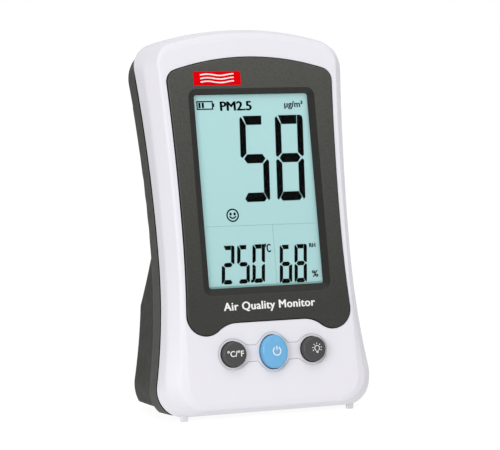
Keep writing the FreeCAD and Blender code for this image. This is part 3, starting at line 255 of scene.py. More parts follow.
LOOKS = {
    "white": white_plastic(), "panel": panel_plastic(), "bezel": bezel_plastic(),
    "rear": rear_plastic(), "cap": cap_plastic(), "blue": blue_plastic(),
    "white_ink": print_ink("white_ink", (0.70, 0.70, 0.70), 0.45),
    "red_ink": print_ink("red_ink", (0.58, 0.001, 0.003), 0.7, Specular_IOR_Level=0.0),
    "segment": print_ink("segment", (0.0015, 0.002, 0.002), 0.6, Specular_IOR_Level=0.0),
    "faint": print_ink("faint", (0.27, 0.42, 0.42), 0.5, Specular_IOR_Level=0.0),
    "lit": lit_glass(), "window": clear_window(),
    "steel": metal("steel", (0.55, 0.55, 0.54), 0.32),
    "brass": metal("brass", (0.70, 0.50, 0.20), 0.3),
    "black": plain("black", (0.02, 0.02, 0.02), 0.5),
    # Painted shade: near-black colour for the shell's inner walls in the well round the panel and
    # in the key holes, where only shade falls.
    "gap": plain("gap", (0.02, 0.02, 0.02), 0.8, Specular_IOR_Level=0.1),
    "inner": plain("inner", (0.62, 0.62, 0.60), 0.45),
    "board": plain("board", (0.02, 0.16, 0.06), 0.35, 0.0012),
    "foil": metal("foil", (0.7, 0.71, 0.73), 0.4),
    "tape": plain("tape", (0.62, 0.48, 0.12), 0.4),
    "lead": plain("lead", (0.45, 0.03, 0.02), 0.4),
    "ribbon": plain("ribbon", (0.62, 0.62, 0.60), 0.5),
    "foam": plain("foam", (0.03, 0.03, 0.03), 0.9, 0.0008, 0.0003),
    "rubber": plain("rubber", (0.025, 0.025, 0.025), 0.75),
    "label": plain("label", (0.30, 0.30, 0.29), 0.42),
    "silicone": plain("silicone", (0.65, 0.42, 0.40), 0.5),
}


def material(name):
    return LOOKS[name].material


NODE_LOOKS = {
    "display_window": "window", "lcd_glass": "lit", "light_guide": "inner",
    "contact_strip": "silicone", "display_holder": "inner", "unit_plunger": "black",
    "power_plunger": "black", "light_plunger": "black", "button_switches": "black",
    "main_board": "board", "board_screws": "steel", "board_chips": "black",
    "buzzer": "black", "battery_cell": "foil", "battery_tape": "tape",
    "battery_leads": "lead", "battery_plug": "inner", "rear_shell": "rear",
    "rear_feet": "rubber", "case_screws": "steel", "rear_label": "label",
    "sensor_case": "black", "sensor_lid": "inner", "sensor_board": "board",
    "laser_module": "brass", "fan_rotor": "black", "fan_shaft": "steel",
    "sensor_gasket": "foam", "sensor_ribbon": "ribbon", "charge_board": "board",
    "usb_socket": "steel", "charge_ribbon": "ribbon", "climate_sensor": "board",
    "climate_ribbon": "ribbon", "front_shell": "white", "face_panel": "panel",
    "unit_button": "cap", "power_button": "blue", "light_button": "cap",
}


def dress_nodes():
    for name, look in NODE_LOOKS.items():
        mesh = nodes[name].data
        mesh.materials.clear()
        mesh.materials.append(material(look))


# ---------------------------------------------------------------- mesh building

class Shape:
    """A mesh drawn in the face frame, loop by loop."""

    def __init__(self):
        self.bm = bmesh.new()
        self.slot = 0

    def loop(self, points, z=None):
        if z is not None:
            points = [(x, y, z) for x, y in points]
        return [self.bm.verts.new(point) for point in points]

    def face(self, corners):
        made = self.bm.faces.new(corners)
        made.material_index = self.slot
        return made

    def skin(self, loops, closed=True):
        for low, high in zip(loops, loops[1:]):
            count = len(low) if closed else len(low) - 1
            for n in range(count):
                m = (n + 1) % len(low)
                self.face((low[n], low[m], high[m], high[n]))

    def fill(self, *loops):
        """Flat face inside the first loop and outside the others."""
        edges = []
        for loop in loops:
            for a, b in zip(loop, loop[1:] + loop[:1]):
                edges.append(self.bm.edges.get((a, b)) or self.bm.edges.new((a, b)))
        made = bmesh.ops.triangle_fill(self.bm, use_beauty=True, edges=edges)
        for item in made["geom"]:
            if isinstance(item, bmesh.types.BMFace):
                item.material_index = self.slot

    def build(self, name, looks, body="case", sharp=30, replaces=()):
        bmesh.ops.recalc_face_normals(self.bm, faces=self.bm.faces)
        mesh = bpy.data.meshes.new(name)
        self.bm.to_mesh(mesh)
        self.bm.free()
        mesh.transform(TO_ROOM)
        return finish_piece(mesh, name, looks, body, sharp, replaces)


def finish_piece(mesh, name, looks, body="case", sharp=30, replaces=()):
    piece = bpy.data.objects.new(name, mesh)
    bpy.context.scene.collection.objects.link(piece)
    for look in [looks] if isinstance(looks, str) else looks:
        mesh.materials.append(material(look))
    mesh.shade_smooth()
    mesh.set_sharp_from_angle(angle=math.radians(sharp))
    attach(piece, body)
    if replaces:
        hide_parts(*replaces)
    return piece


# ---------------------------------------------------------------- outlines

INWARD = {"waist": -1, "low_radius": 1, "up_radius": 1, "base": 1, "low_corner": -1,
          "top": -1, "arch": -1, "top_corner": -1, "plateau": 1, "swell_radius": 1}
SEAM = {"waist": 40.0, "low_radius": 245.0, "up_radius": 690.0, "base": 0.0,
        "low_corner": 10.5, "top": 151.3, "arch": 128.0, "top_corner": 9.0}
RIB = {"waist": 39.4, "low_radius": 300.0, "up_radius": 1020.0, "base": 0.0,
       "low_corner": 13.0, "top": 150.45, "arch": 126.0, "top_corner": 12.0}
BEVEL = {"waist": 35.9, "low_radius": 460.0, "up_radius": 1300.0, "base": 1.4,
         "low_corner": 10.0, "top": 148.3, "arch": 126.0, "top_corner": 8.0}
FACE = {"waist": 35.2, "low_radius": 4000.0, "up_radius": 1300.0, "base": 4.0,
        "low_corner": 7.0, "top": 145.6, "arch": 124.0, "top_corner": 5.6}
PANEL = {"waist": 33.2, "low_radius": 461.0, "up_radius": 1080.0, "base": 30.3,
         "low_corner": 7.7, "top": 138.4, "arch": 106.0, "top_corner": 5.0,
         "plateau": 34.8, "swell_radius": 12.0}


WAIST_LEVEL = 61.0      # how far up the face each outline is narrowest
PANEL_LEVEL = 70.0


def inset(sizes, distance):
    return {key: size + distance * INWARD[key] for key, size in sizes.items()}


def mix(first, second, share):
    return {key: first[key] * (1 - share) + second[key] * share for key in first}


def toward(start, goal, distance):
    return start + (goal - start).normalized() * distance


def circles_meet(centre, radius, other, other_radius):
    apart = other - centre
    along = (radius ** 2 - other_radius ** 2 + apart.length ** 2) / (2 * apart.length)
    aside = math.sqrt(radius ** 2 - along ** 2)
    foot = centre + apart.normalized() * along
    across = Vector((-apart.y, apart.x)).normalized() * aside
    return max(foot + across, foot - across, key=lambda point: point.y)


def arc_points(centre, first, last, count):
    """Points from first to just short of last along the short arc about centre."""
    start, stop = first - centre, last - centre
    begin = math.atan2(start.y, start.x)
    turn = (math.atan2(stop.y, stop.x) - begin + math.pi) % (2 * math.pi) - math.pi
    return [centre + Vector((math.cos(begin + turn * n / count),
                             math.sin(begin + turn * n / count))) * start.length
            for n in range(count)]


def outline(s, level=WAIST_LEVEL):
    """The waisted outline as points, from the middle of the base to the right and up."""
    low = Vector((s["waist"] + s["low_radius"], level))
    up = Vector((s["waist"] + s["up_radius"], level))
    foot_y = s["base"] + s["low_corner"]
    reach = s["low_radius"] + s["low_corner"]
    foot = Vector((low.x - math.sqrt(reach ** 2 - (level - foot_y) ** 2), foot_y))
    crown = Vector((0, s["top"] - s["arch"]))
    head = circles_meet(crown, s["arch"] - s["top_corner"], up, s["up_radius"] + s["top_corner"])
    corners = [Vector((foot.x, s["base"])), toward(foot, low, s["low_corner"]),
               Vector((s["waist"], level)), toward(head, up, s["top_corner"]),
               toward(crown, head, s["arch"]), Vector((0, s["top"]))]
    centres = [foot, low, up, head, crown]
    counts = [18, 22, 26, 14, 22]
    base = s["base"]
    if "plateau" in s:
        swell_y = s["plateau"] - s["swell_radius"]
        reach = s["swell_radius"] + s["low_corner"]
        swell = Vector((foot.x - math.sqrt(reach ** 2 - (foot.y - swell_y) ** 2), swell_y))
        corners[0] = toward(foot, swell, s["low_corner"])
        corners.insert(0, Vector((swell.x, s["plateau"])))
        centres.insert(0, swell)
        counts.insert(0, 10)
        base = s["plateau"]
    start = Vector((0, base))
    right = [start.lerp(corners[0], n / 12) for n in range(12)]
    for n, centre in enumerate(centres):
        right += arc_points(centre, corners[n], corners[n + 1], counts[n])
    left = [Vector((-p.x, p.y)) for p in right[1:]][::-1]
    return [(p.x, p.y) for p in right + [corners[-1]] + left]


def rounded_box(width, height, middle, corner):
    """Rounded rectangle as points, ten to an edge and ten to a corner."""
    points = []
    for turn, (sx, sy) in enumerate(((1, -1), (1, 1), (-1, 1), (-1, -1))):
        cx, cy = sx * (width / 2 - corner), middle + sy * (height / 2 - corner)
        for n in range(11):
            angle = (turn - 1) * math.pi / 2 + n * math.pi / 20
            points.append((cx + corner * math.cos(angle), cy + corner * math.sin(angle)))
    return points


def oval(half_width, half_height, middle, count=72):
    return [(middle[0] + half_width * math.cos(2 * math.pi * n / count),
             middle[1] + half_height * math.sin(2 * math.pi * n / count))
            for n in range(count)]


# ---------------------------------------------------------------- front cover

RIB_Z = 5.0          # heights out from the seam
BEVEL_Z = 10.35
FACE_Z = 10.8
WELL_Z = 9.4         # floor of the well that the panel lies in
LIP_WIDTH = 2.6      # the shell's edge, as it turns in behind the seam
LIP_DEPTH = 3.0
SEAM_EASE = 0.25

BUTTON_Y = 22.5
BUTTON_PITCH = 16.7
ROUND_KEY = (4.8, 4.8)       # half width and half height
POWER_KEY = (5.3, 6.5)
KEY_PLACES = ((-BUTTON_PITCH, *ROUND_KEY), (0, *POWER_KEY), (BUTTON_PITCH, *ROUND_KEY))
OUTLINE_MARGIN = 1.1         # from a key's edge to the line round the keys
NECK_HALF = 3.1              # half the height of that line between two keys
NECK_BLEND = 3.0
# (margin, height) down the groove round the keys, and down a key's hole
OUTLINE_GROOVE = ((0.26, FACE_Z), (0.18, 10.45), (0.04, 10.45), (-0.04, 10.74))
HOLE_RINGS = ((0.5, 10.74), (0.38, 10.70), (0.3, 10.55), (0.3, 8.2))

NUB_X = 35.1                 # two small feet under the shell
NUB_Y = -0.9
NUB_HALF_WIDTH = 1.4
NUB_HALF_DEPTH = 0.85
NUB_CORNER = 0.35
NUB_SECTIONS = ((1.2, 0.0), (-1.15, 0.0), (-1.4, 0.1), (-1.5, 0.35))     # (up, shrink)


def rounded_corner(before, corner, after, steps):
    """(sizes, height) sections along the parabola that rounds a corner."""
    made = []
    for n in range(steps + 1):
        t = n / steps
        first = (mix(before[0], corner[0], t), before[1] * (1 - t) + corner[1] * t)
        second = (mix(corner[0], after[0], t), corner[1] * (1 - t) + after[1] * t)
        made.append((mix(first[0], second[0], t), first[1] * (1 - t) + second[1] * t))
    return made


def between(first, second, share):
    return mix(first[0], second[0], share), first[1] * (1 - share) + second[1] * share


def soft_step(value, other, blend):
    """The larger of two numbers, blended where they are close."""
    share = max(blend - abs(value - other), 0) / blend
    return max(value, other) + share * share * blend / 4


def key_outline(margin):
    """Closed line round the three keys, drawn in to a neck between each two."""
    out = OUTLINE_MARGIN + margin
    middle = ROUND_KEY[0] + out
    half_width, half_height = POWER_KEY[0] + out, POWER_KEY[1] + out
    ends = []
    for n in range(40):
        angle = math.pi / 2 + math.pi * n / 40
        ends.append((-BUTTON_PITCH + middle * math.cos(angle), middle * math.sin(angle)))
    tops = []
    for n in range(121):
        x = -BUTTON_PITCH + 2 * BUTTON_PITCH * n / 120
        bump = 0.0
        for at, wide, tall in ((-BUTTON_PITCH, middle, middle), (0, half_width, half_height),
                               (BUTTON_PITCH, middle, middle)):
            share = (x - at) / wide
            if abs(share) < 1:
                bump = soft_step(bump, tall * math.sqrt(1 - share * share), NECK_BLEND)
        tops.append((x, soft_step(bump, NECK_HALF + margin, NECK_BLEND)))
    right = [(-x, -y) for x, y in ends]
    # the left end goes down, the lower line right, the right end up and the upper line back
    points = ends + [(x, -y) for x, y in tops[:-1]] + right + [(x, y) for x, y in tops[::-1][:-1]]
    return [(x, y + BUTTON_Y) for x, y in points]


def make_front_cover():
    shape = Shape()
    seam, rib, bevel, face = (SEAM, 0.0), (RIB, RIB_Z), (BEVEL, BEVEL_Z), (FACE, FACE_Z)
    eased = (inset(SEAM, SEAM_EASE), 0.0)
    sections = [(inset(SEAM, LIP_WIDTH), LIP_DEPTH), (inset(SEAM, LIP_WIDTH), 0.0), eased]
    sections += rounded_corner(eased, seam, between(seam, rib, 0.05), 3)
    sections += rounded_corner(between(rib, seam, 0.16), rib, between(rib, bevel, 0.16), 7)
    sections += rounded_corner(between(bevel, rib, 0.14), bevel, between(bevel, face, 0.30), 7)
    sections += rounded_corner(between(face, bevel, 0.25), face, (inset(FACE, 0.4), FACE_Z), 5)
    loops = [shape.loop(outline(sizes), z) for sizes, z in sections]
    shape.skin(loops)

    well = [shape.loop(outline(inset(PANEL, distance), PANEL_LEVEL), z)
            for distance, z in ((-0.4, FACE_Z), (-0.3, 10.68), (-0.3, WELL_Z), (0.8, WELL_Z))]
    shape.skin(well[:2])
    # The well's walls below the lip take the gap colour, which is painted shade for the gap round
    # the panel.
    shape.slot = 1
    shape.skin(well[1:])
    shape.slot = 0

    step = [shape.loop(key_outline(margin), z) for margin, z in OUTLINE_GROOVE]
    shape.skin(step)
    holes = []
    for x, wide, tall in KEY_PLACES:
        rings = [shape.loop(oval(wide + out, tall + out, (x, BUTTON_Y)), z)
                 for out, z in HOLE_RINGS]
        shape.skin(rings[:3])
        # The lower wall of each key hole takes the gap colour, which is painted shade for the gap
        # round the key.
        shape.slot = 1
        shape.skin(rings[2:])
        shape.slot = 0
        holes.append(rings[0])
    shape.fill(loops[-1], well[0], step[0])
    shape.fill(step[-1], *holes)
    add_nubs(shape)
    return shape.build("front_cover", ["white", "gap"], replaces=["front_shell"])


def add_nubs(shape):
    """Two small feet with softened edges, square to the table."""
    sine, cosine = math.sin(LEAN), math.cos(LEAN)

    def in_face(x, back, up):
        return x, back * sine + up * cosine, up * sine - back * cosine

    for side in (-1, 1):
        rings = []
        for up, shrink in NUB_SECTIONS:
            half, deep = NUB_HALF_WIDTH - shrink, NUB_HALF_DEPTH - shrink
            points = []
            for turn, (sx, sy) in enumerate(((1, -1), (1, 1), (-1, 1), (-1, -1))):
                for n in range(5):
                    angle = (turn - 1) * math.pi / 2 + n * math.pi / 8
                    points.append((
                        NUB_X * side + sx * (half - NUB_CORNER) + NUB_CORNER * math.cos(angle),
                        NUB_Y + sy * (deep - NUB_CORNER) + NUB_CORNER * math.sin(angle)))
            rings.append(shape.loop([in_face(x, back, up) for x, back in points]))
        shape.skin(rings)
        shape.face(rings[-1])


# ---------------------------------------------------------------- display panel

PANEL_Z = 11.4
PANEL_FOOT_Z = 9.45
PANEL_ROUND = 0.65           # radius of the panel's outer edge
PANEL_ROUND_STEPS = 6
WINDOW_MIDDLE = 86.0         # the display's middle, up the face
# The brow is the panel's edge round the opening and the sill slopes from it to the glass:
# (width, height, middle, corner) of the rounded boxes that they run between.
BROW = (53.56, 80.98, 85.7, 3.5)
SILL_TOP = (53.36, 80.78, 85.7, 3.4)
SILL_FOOT = (48.3, 75.8, 86.0, 1.1)
SILL_TOP_Z = 11.28
SILL_DROP = 0.98
OPENING_TALLER = 27.52       # how much taller than wide the opening is
POCKET = (52.2, 79.8, WINDOW_MIDDLE, 1.5)
POCKET_Z = 9.9


def make_panel():
    shape = Shape()
    edge_z = 10.75
    loops = [shape.loop(outline(inset(PANEL, 0.6), PANEL_LEVEL), PANEL_FOOT_Z)]
    loops += [shape.loop(outline(PANEL, PANEL_LEVEL), z) for z in (PANEL_FOOT_Z, edge_z)]
    for n in range(1, PANEL_ROUND_STEPS + 1):
        angle = math.pi / 2 * n / PANEL_ROUND_STEPS
        pull = PANEL_ROUND * (1 - math.cos(angle))
        loops.append(shape.loop(outline(inset(PANEL, pull), PANEL_LEVEL),
                                edge_z + PANEL_ROUND * math.sin(angle)))
    shape.slot = 1
    shape.skin(loops[:5])
    shape.slot = 0
    shape.skin(loops[4:])
    brow = []
    for out, down in ((0.35, 0.0), (0.12, 0.03), (-0.1, 0.12)):
        width, height, middle, corner = BROW
        brow.append(shape.loop(rounded_box(width + out * 2, height + out * 2, middle,
                                           corner + out), PANEL_Z - down))
    shape.skin(brow)
    shape.fill(loops[-1], brow[0])
    shape.slot = 1
    sill = [brow[-1]]
    for share in (0.25, 0.5, 0.75, 0.93):
        box = [top + (foot - top) * share for top, foot in zip(SILL_TOP, SILL_FOOT)]
        sill.append(shape.loop(rounded_box(*box), SILL_TOP_Z - SILL_DROP * share))
    for width, drop in ((48.12, 1.12), (48.06, 1.25), (48.06, 1.5)):
        sill.append(shape.loop(rounded_box(width, width + OPENING_TALLER, WINDOW_MIDDLE, 1.0),
                               PANEL_Z - drop))
    shape.skin(sill)
    shape.skin([sill[-1], shape.loop(rounded_box(*POCKET), POCKET_Z)])
    return shape.build("front_panel", ["panel", "bezel"], replaces=["face_panel"])


# ---------------------------------------------------------------- keys

KEY_TOP = 13.8
KEY_EDGE = 1.0               # how far the rounded edge reaches in from a key's side
FLANGE_OUT = 1.1             # the hidden flange that keeps a key in its hole
FLANGE_Z = (7.0, 7.9)


def make_key(name, x, size, look, body):
    """A key with a rounded edge, a slightly crowned top and a flange behind the shell."""
    shape = Shape()
    half_width, half_height = size
    centre = (x, BUTTON_Y)
    loops = [shape.loop(oval(half_width, half_height, centre), z) for z in (8.3, KEY_TOP - 1.05)]
    for n in range(1, 8):
        angle = math.pi / 2 * n / 7
        pull = KEY_EDGE * (1 - math.cos(angle))
        loops.append(shape.loop(oval(half_width - pull, half_height - pull, centre),
                                KEY_TOP - 1.05 + 0.8 * math.sin(angle)))
    for share in (0.9, 0.78, 0.62, 0.45, 0.28, 0.12):
        z = KEY_TOP - 0.25 + 0.25 * (1 - share ** 2)
        loops.append(shape.loop(oval((half_width - KEY_EDGE) * share,
                                     (half_height - KEY_EDGE) * share, centre), z))
    shape.skin(loops)
    shape.face(loops[-1])
    wide, tall = half_width + FLANGE_OUT, half_height + FLANGE_OUT
    flange = [shape.loop(oval(half_width, half_height, centre), FLANGE_Z[1]),
              shape.loop(oval(wide, tall, centre), FLANGE_Z[1]),
              shape.loop(oval(wide, tall, centre), FLANGE_Z[0])]
    shape.skin(flange)
    shape.face(flange[-1])
    shape.skin([flange[0], loops[0]])
    return shape.build(name, look, body=body, replaces=[body])


# ---------------------------------------------------------------- print and display marks

def flat_piece(name, polygons, z, look, body="case", thick=0.03):
    """Thin printed marks: closed polygons in the face plane, each with a little height."""
    shape = Shape()
    for points in polygons:
        top = shape.loop(points, z + thick)
        low = shape.loop(points, z)
        shape.skin([low, top])
        shape.fill(top)
    return shape.build(name, look, body=body, sharp=20)


def bar(x0, y0, x1, y1, thick):
    """Straight stroke of this thickness as a polygon."""
    along = Vector((x1 - x0, y1 - y0)).normalized()
    side = Vector((-along.y, along.x)) * (thick / 2)
    return [(x0 + side.x, y0 + side.y), (x0 - side.x, y0 - side.y),
            (x1 - side.x, y1 - side.y), (x1 + side.x, y1 + side.y)]


def arc_strip(centre, radius, start, stop, thick, count=24):
    """Arc stroke as short bars, from start to stop degrees."""
    made = []
    for n in range(count):
        a = math.radians(start + (stop - start) * n / count)
        b = math.radians(start + (stop - start) * (n + 1.04) / count)
        low, high = radius - thick / 2, radius + thick / 2
        made.append([(centre[0] + r * math.cos(t), centre[1] + r * math.sin(t))
                     for r, t in ((low, a), (high, a), (high, b), (low, b))])
    return made


LIT = {"0": "abcdef", "2": "abged", "5": "afgcd", "6": "afedcg", "8": "abcdefg"}


def digit(char, centre, width, height, upright, level, gap, slant):
    """Polygons of a seven-segment digit; upright and level are the stroke widths."""
    w, h = width / 2, height / 2
    cut = upright * 0.42
    mid = level / 2
    shapes = {
        "a": [(-w + cut + gap, h), (w - upright - gap * 0.6, h),
              (w - upright - gap * 0.6, h - level), (-w + upright + gap * 0.7, h - level)],
        "b": [(w - upright, h), (w - upright * 0.5, h), (w - upright * 0.14, h - level * 0.14),
              (w, h - level * 0.5), (w, mid * 0.35 + gap), (w - upright * 0.3, gap * 1.2),
              (w - upright, mid + gap)],
        "f": [(-w, h - level * 0.3), (-w + cut * 0.6, h - level * 0.1), (-w + upright, h - level),
              (-w + upright, mid + gap), (-w + upright * 0.3, gap * 1.2), (-w, mid * 0.4 + gap)],
        "g": [(-w + upright * 0.45 + gap, 0), (-w + upright + gap * 0.7, mid),
              (w - upright - gap * 0.7, mid), (w - upright * 0.45 - gap, 0),
              (w - upright - gap * 0.7, -mid), (-w + upright + gap * 0.7, -mid)],
        "d": [(-w + cut + gap, -h + level * 0.35), (-w + upright * 0.8 + gap, -h),
              (w - upright * 0.8 - gap, -h), (w - cut - gap, -h + level * 0.35),
              (w - upright - gap * 0.7, -h + level), (-w + upright + gap * 0.7, -h + level)],
    }
    shapes["e"] = [(x, -y) for x, y in shapes["f"]]
    shapes["c"] = [(-x, -y) for x, y in shapes["f"]]
    made = []
    for key in LIT[char]:
        made.append([(centre[0] + x + y * slant, centre[1] + y) for x, y in shapes[key]])
    return made


def letters(name, text, size, place, z, look, body="case", bold=0.0, spacing=1.0):
    """Printed letters as a thin mesh; size is a capital's height, place is (x0, x1, foot).

    Bold letters are a few thin layers, each set a little to the side of the last."""
    curve = bpy.data.curves.new(name, "FONT")
    curve.body = text
    curve.size = size / 0.70
    curve.space_character = spacing
    curve.resolution_u = 5
    curve.extrude = 0.015
    holder = bpy.data.objects.new(name + "_curve", curve)
    bpy.context.scene.collection.objects.link(holder)
    graph = bpy.context.evaluated_depsgraph_get()
    single = bpy.data.meshes.new_from_object(holder.evaluated_get(graph))
    bpy.data.objects.remove(holder)
    reach = [vertex.co.x for vertex in single.vertices]
    low, high = min(reach), max(reach)
    stretch = (place[1] - place[0] - 2 * bold) / (high - low)
    bm = bmesh.new()
    sides = [(0, 0)]
    if bold:
        sides += [(-bold, 0), (bold, 0), (0, bold * 0.5), (0, -bold * 0.5)]
    for layer, (across, up) in enumerate(sides):
        copy = single.copy()
        copy.transform(Matrix.Diagonal((stretch, 1, 1, 1)))
        copy.transform(Matrix.Translation((place[0] + bold - low * stretch + across,
                                           place[2] + up, z + 0.015 + layer * 0.002)))
        bm.from_mesh(copy)
        bpy.data.meshes.remove(copy)
    bpy.data.meshes.remove(single)
    mesh = bpy.data.meshes.new(name)
    bm.to_mesh(mesh)
    bm.free()
    mesh.transform(TO_ROOM)
    mesh.materials.clear()
    return finish_piece(mesh, name, look, body, sharp=20)


GLASS_Z = 9.0
MIDDLE = WINDOW_MIDDLE
SHIFT = -0.2                 # the display's marks sit this far right of the middle
BIG_DIGIT = {"width": 12.0, "height": 34.0, "upright": 2.55, "level": 3.6, "gap": 0.32,
             "slant": 0.055}
SMALL_DIGIT = {"width": 5.3, "height": 15.0, "upright": 1.4, "level": 1.7, "gap": 0.2,
               "slant": 0.088}


def display_marks():
    ink = []
    ink += digit("5", (SHIFT + 0.1, MIDDLE + 12.4), **BIG_DIGIT)
    ink += digit("8", (SHIFT + 15.15, MIDDLE + 12.4), **BIG_DIGIT)
    for n, char in enumerate("250"):
        ink += digit(char, (SHIFT - 14.8 + 6.43 * n, MIDDLE - 28.8), **SMALL_DIGIT)
    for n, char in enumerate("68"):
        ink += digit(char, (SHIFT + 9.55 + 6.3 * n, MIDDLE - 29.5), **SMALL_DIGIT)
    ink.append([(SHIFT - 5.8, MIDDLE - 36.1), (SHIFT - 4.9, MIDDLE - 36.1),
                (SHIFT - 4.85, MIDDLE - 35.0), (SHIFT - 5.75, MIDDLE - 35.0)])
    x0, x1, y0, y1, line = SHIFT - 22.3, SHIFT - 15.9, MIDDLE + 32.4, MIDDLE + 35.4, 0.48
    for points in (((x0, y0), (x1, y0)), ((x1, y0), (x1, y1)), ((x1, y1), (x0, y1)),
                   ((x0, y1), (x0, y0))):
        (ax, ay), (bx, by) = points
        grow = Vector((bx - ax, by - ay)).normalized() * (line / 2)
        ink.append(bar(ax - grow.x, ay - grow.y, bx + grow.x, by + grow.y, line))
    ink.append(bar(x1 + 0.15, MIDDLE + 33.9, x1 + 0.75, MIDDLE + 33.9, 1.4))
    for x in (SHIFT - 21.3, SHIFT - 19.9):
        ink.append(bar(x, MIDDLE + 32.85, x, MIDDLE + 35.0, 0.9))
    face = (SHIFT - 11.2, MIDDLE - 9.5)
    ink += arc_strip(face, 2.35, 0, 360, 0.55, 48)
    ink += arc_strip((face[0], face[1] + 0.25), 1.4, 205, 335, 0.55, 16)
    for side in (-1, 1):
        ink.append(oval(0.5, 0.6, (face[0] + side * 0.85, face[1] + 0.5), 16))
    flat_piece("display_marks", ink, GLASS_Z + 0.02, "segment")
    faint = [bar(SHIFT - 22.8, MIDDLE - 13.6, SHIFT + 23.7, MIDDLE - 13.9, 0.16),
             bar(SHIFT + 5.2, MIDDLE - 14.0, SHIFT + 5.1, MIDDLE - 37.6, 0.16)]
    flat_piece("display_rules", faint, GLASS_Z + 0.015, "faint", thick=0.02)
    for name, text, size, x0, x1, foot, bold in (
            ("display_dust", "PM2.5", 3.6, -12.8, 0.6, 31.7, 0.22),
            ("display_unit", "µg/m³", 2.5, 14.5, 22.5, 32.5, 0.11),
            ("display_degree", "°C", 3.2, 0.9, 3.7, -24.5, 0.14),
            ("display_humidity", "RH", 1.6, 20.1, 22.8, -23.4, 0.1),
            ("display_percent", "%", 2.5, 20.3, 23.0, -35.1, 0.12)):
        letters(name, text, size, (SHIFT + x0, SHIFT + x1, MIDDLE + foot), GLASS_Z + 0.02,
                "segment", bold=bold)


def wave(x0, x1, y, rise, thick, count=20):
    """Gentle wavy stroke, the sign for moving air."""
    made = []
    for n in range(count):
        a, b = n / count, (n + 1.05) / count
        ends = [(x0 + (x1 - x0) * t, y + rise * math.sin(2 * math.pi * 1.25 * t)) for t in (a, b)]
        made.append(bar(*ends[0], *ends[1], thick))
    return made


def panel_marks():
    tag = rounded_box(19.8, 5.5, 0.0, 0.25)
    flat_piece("panel_tag", [[(x - 14.2, y + MIDDLE + 44.1) for x, y in tag]], PANEL_Z, "red_ink",
               thick=0.05)
    sign = []
    for row in range(3):
        sign += wave(-21.2, -7.2, MIDDLE + 45.5 - 1.4 * row, 0.32, 0.5)
    flat_piece("panel_tag_sign", sign, PANEL_Z + 0.05, "white_ink", thick=0.03)
    letters("panel_title", "Air Quality Monitor", 3.1, (-19.2, 19.3, MIDDLE - 46.6), PANEL_Z,
            "white_ink", bold=0.14, spacing=1.07)


def key_marks():
    letters("unit_mark", "°C/°F", 2.2, (-BUTTON_PITCH - 3.45, -BUTTON_PITCH + 3.35,
                                        BUTTON_Y - 1.05), KEY_TOP,
            "white_ink", body="unit_button", bold=0.07)
    x, stroke = 0.48, 0.42
    ring = arc_strip((x, BUTTON_Y + 0.05), 1.58, 118, 422, stroke, 36)
    ring.append(bar(x, BUTTON_Y + 0.5, x, BUTTON_Y + 2.1, stroke))
    flat_piece("power_mark", ring, KEY_TOP, "white_ink", body="power_button")
    x, y = BUTTON_PITCH + 0.75, BUTTON_Y + 0.15
    lamp = arc_strip((x, y), 1.0, -60, 240, 0.28, 28)
    lamp.append(bar(x - 0.5, y - 1.25, x + 0.5, y - 1.25, 0.34))
    lamp.append(bar(x - 0.35, y - 1.7, x + 0.35, y - 1.7, 0.3))
    for angle in (-25, 10, 50, 90, 130, 170, 205):
        c, s = math.cos(math.radians(angle)), math.sin(math.radians(angle))
        lamp.append(bar(x + 1.5 * c, y + 1.5 * s, x + 2.1 * c, y + 2.1 * s, 0.26))
    flat_piece("light_mark", lamp, KEY_TOP, "white_ink", body="light_button")


# ---------------------------------------------------------------- camera and light

CAMERA_AZIMUTH = math.radians(22.5)
CAMERA_RISE = math.radians(6.124)
CAMERA_DISTANCE = 0.85266
CAMERA_LEFT = 0.0031856      # how far the camera moves aside and down from its target's line
CAMERA_DOWN = 0.0137815
CAMERA_LENS = 157.16
LIGHT_AIM = Vector((0, 0, 0.08))


def make_camera():
    """Seen from the left and a little above, from most of a metre away."""
    target = TO_ROOM @ Vector((-0.2, 86.0, 10.0))
    azimuth, rise, distance = CAMERA_AZIMUTH, CAMERA_RISE, CAMERA_DISTANCE
    back = Vector((-math.sin(azimuth) * math.cos(rise), -math.cos(azimuth) * math.cos(rise),
                   math.sin(rise)))
    right = Vector((math.cos(azimuth), -math.sin(azimuth), 0))
    up = back.cross(right)
    data = bpy.data.cameras.new("camera")
    data.lens = CAMERA_LENS
    data.sensor_width = 36.0
    data.clip_end = 50
    camera = bpy.data.objects.new("camera", data)
    bpy.context.scene.collection.objects.link(camera)
    spot = target - right * CAMERA_LEFT - up * CAMERA_DOWN + back * distance
    rows = Matrix((right, up, back)).transposed().to_4x4()
    camera.matrix_world = Matrix.Translation(spot) @ rows
    bpy.context.scene.camera = camera


def add_light(name, spot, size, power):
    data = bpy.data.lights.new(name, "AREA")
    data.shape = "RECTANGLE"
    data.size, data.size_y = size
    data.energy = power
    light = bpy.data.objects.new(name, data)
    bpy.context.scene.collection.objects.link(light)
    light.location = spot
    light.rotation_euler = (LIGHT_AIM - Vector(spot)).to_track_quat("-Z", "Y").to_euler()


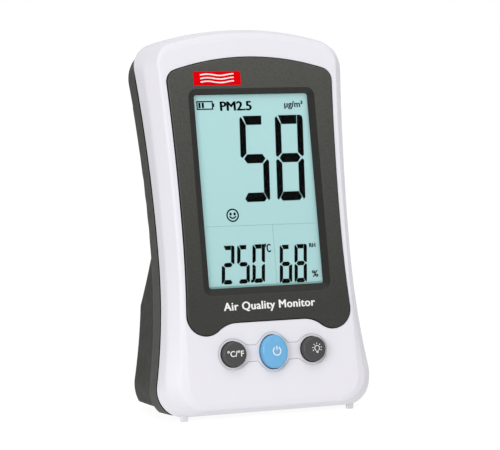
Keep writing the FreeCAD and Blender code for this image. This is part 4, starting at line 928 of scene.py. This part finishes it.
def add_card(name, middle, size, turn, shade):
    """A grey card that keeps light off one side; no view shows the card itself."""
    bm = bmesh.new()
    bmesh.ops.create_grid(bm, x_segments=1, y_segments=1, size=0.5)
    mesh = bpy.data.meshes.new(name)
    bm.to_mesh(mesh)
    bm.free()
    mesh.transform(Matrix.Diagonal((size[0], size[1], 1, 1)))
    mesh.transform(Matrix.Rotation(math.radians(90), 4, "X"))
    mesh.transform(Matrix.Rotation(math.radians(turn), 4, "Z"))
    mesh.transform(Matrix.Translation(middle))
    card = bpy.data.objects.new(name, mesh)
    bpy.context.scene.collection.objects.link(card)
    card.visible_camera = False
    look = Look(name, (shade, shade, shade), 0.9)
    look.vary_colour(look.noise(0.1, 1), 0.95, 1.0)
    mesh.materials.append(look.material)


def make_studio():
    world = bpy.data.worlds.new("studio")
    bpy.context.scene.world = world
    world.use_nodes = True
    world.node_tree.nodes["Background"].inputs["Color"].default_value = (1, 1, 1, 1)
    world.node_tree.nodes["Background"].inputs["Strength"].default_value = 1.0
    bm = bmesh.new()
    bmesh.ops.create_circle(bm, cap_ends=True, radius=6.0, segments=96)
    mesh = bpy.data.meshes.new("floor")
    bm.to_mesh(mesh)
    bm.free()
    floor = bpy.data.objects.new("floor", mesh)
    bpy.context.scene.collection.objects.link(floor)
    look = Look("floor", (0.10, 0.10, 0.10), 0.9, Specular_IOR_Level=0.0,
                Emission_Color=(1, 1, 1, 1), Emission_Strength=0.94)
    look.vary_colour(look.noise(0.3, 1), 0.99, 1.0)
    mesh.materials.append(look.material)
    add_card("side_card", (-0.23, 0.22, 0.25), (0.56, 0.7), 90, 0.05)
    add_card("right_card", (0.42, -0.20, 0.35), (0.8, 1.0), 90, 0.55)
    add_card("front_card", (-0.45, -1.15, 0.30), (0.9, 0.9), 21, 0.05)
    add_light("left_box", (-1.15, -0.75, 0.40), (0.6, 0.7), 9.8)
    add_light("top_box", (-0.05, -0.38, 1.00), (0.6, 0.4), 2.7)
    bpy.context.scene.view_settings.view_transform = "Standard"


def main():
    dress_nodes()
    make_front_cover()
    make_panel()
    make_key("unit_key", -BUTTON_PITCH, ROUND_KEY, "cap", "unit_button")
    make_key("power_key", 0.0, POWER_KEY, "blue", "power_button")
    make_key("light_key", BUTTON_PITCH, ROUND_KEY, "cap", "light_button")
    display_marks()
    panel_marks()
    key_marks()
    make_camera()
    make_studio()


main()
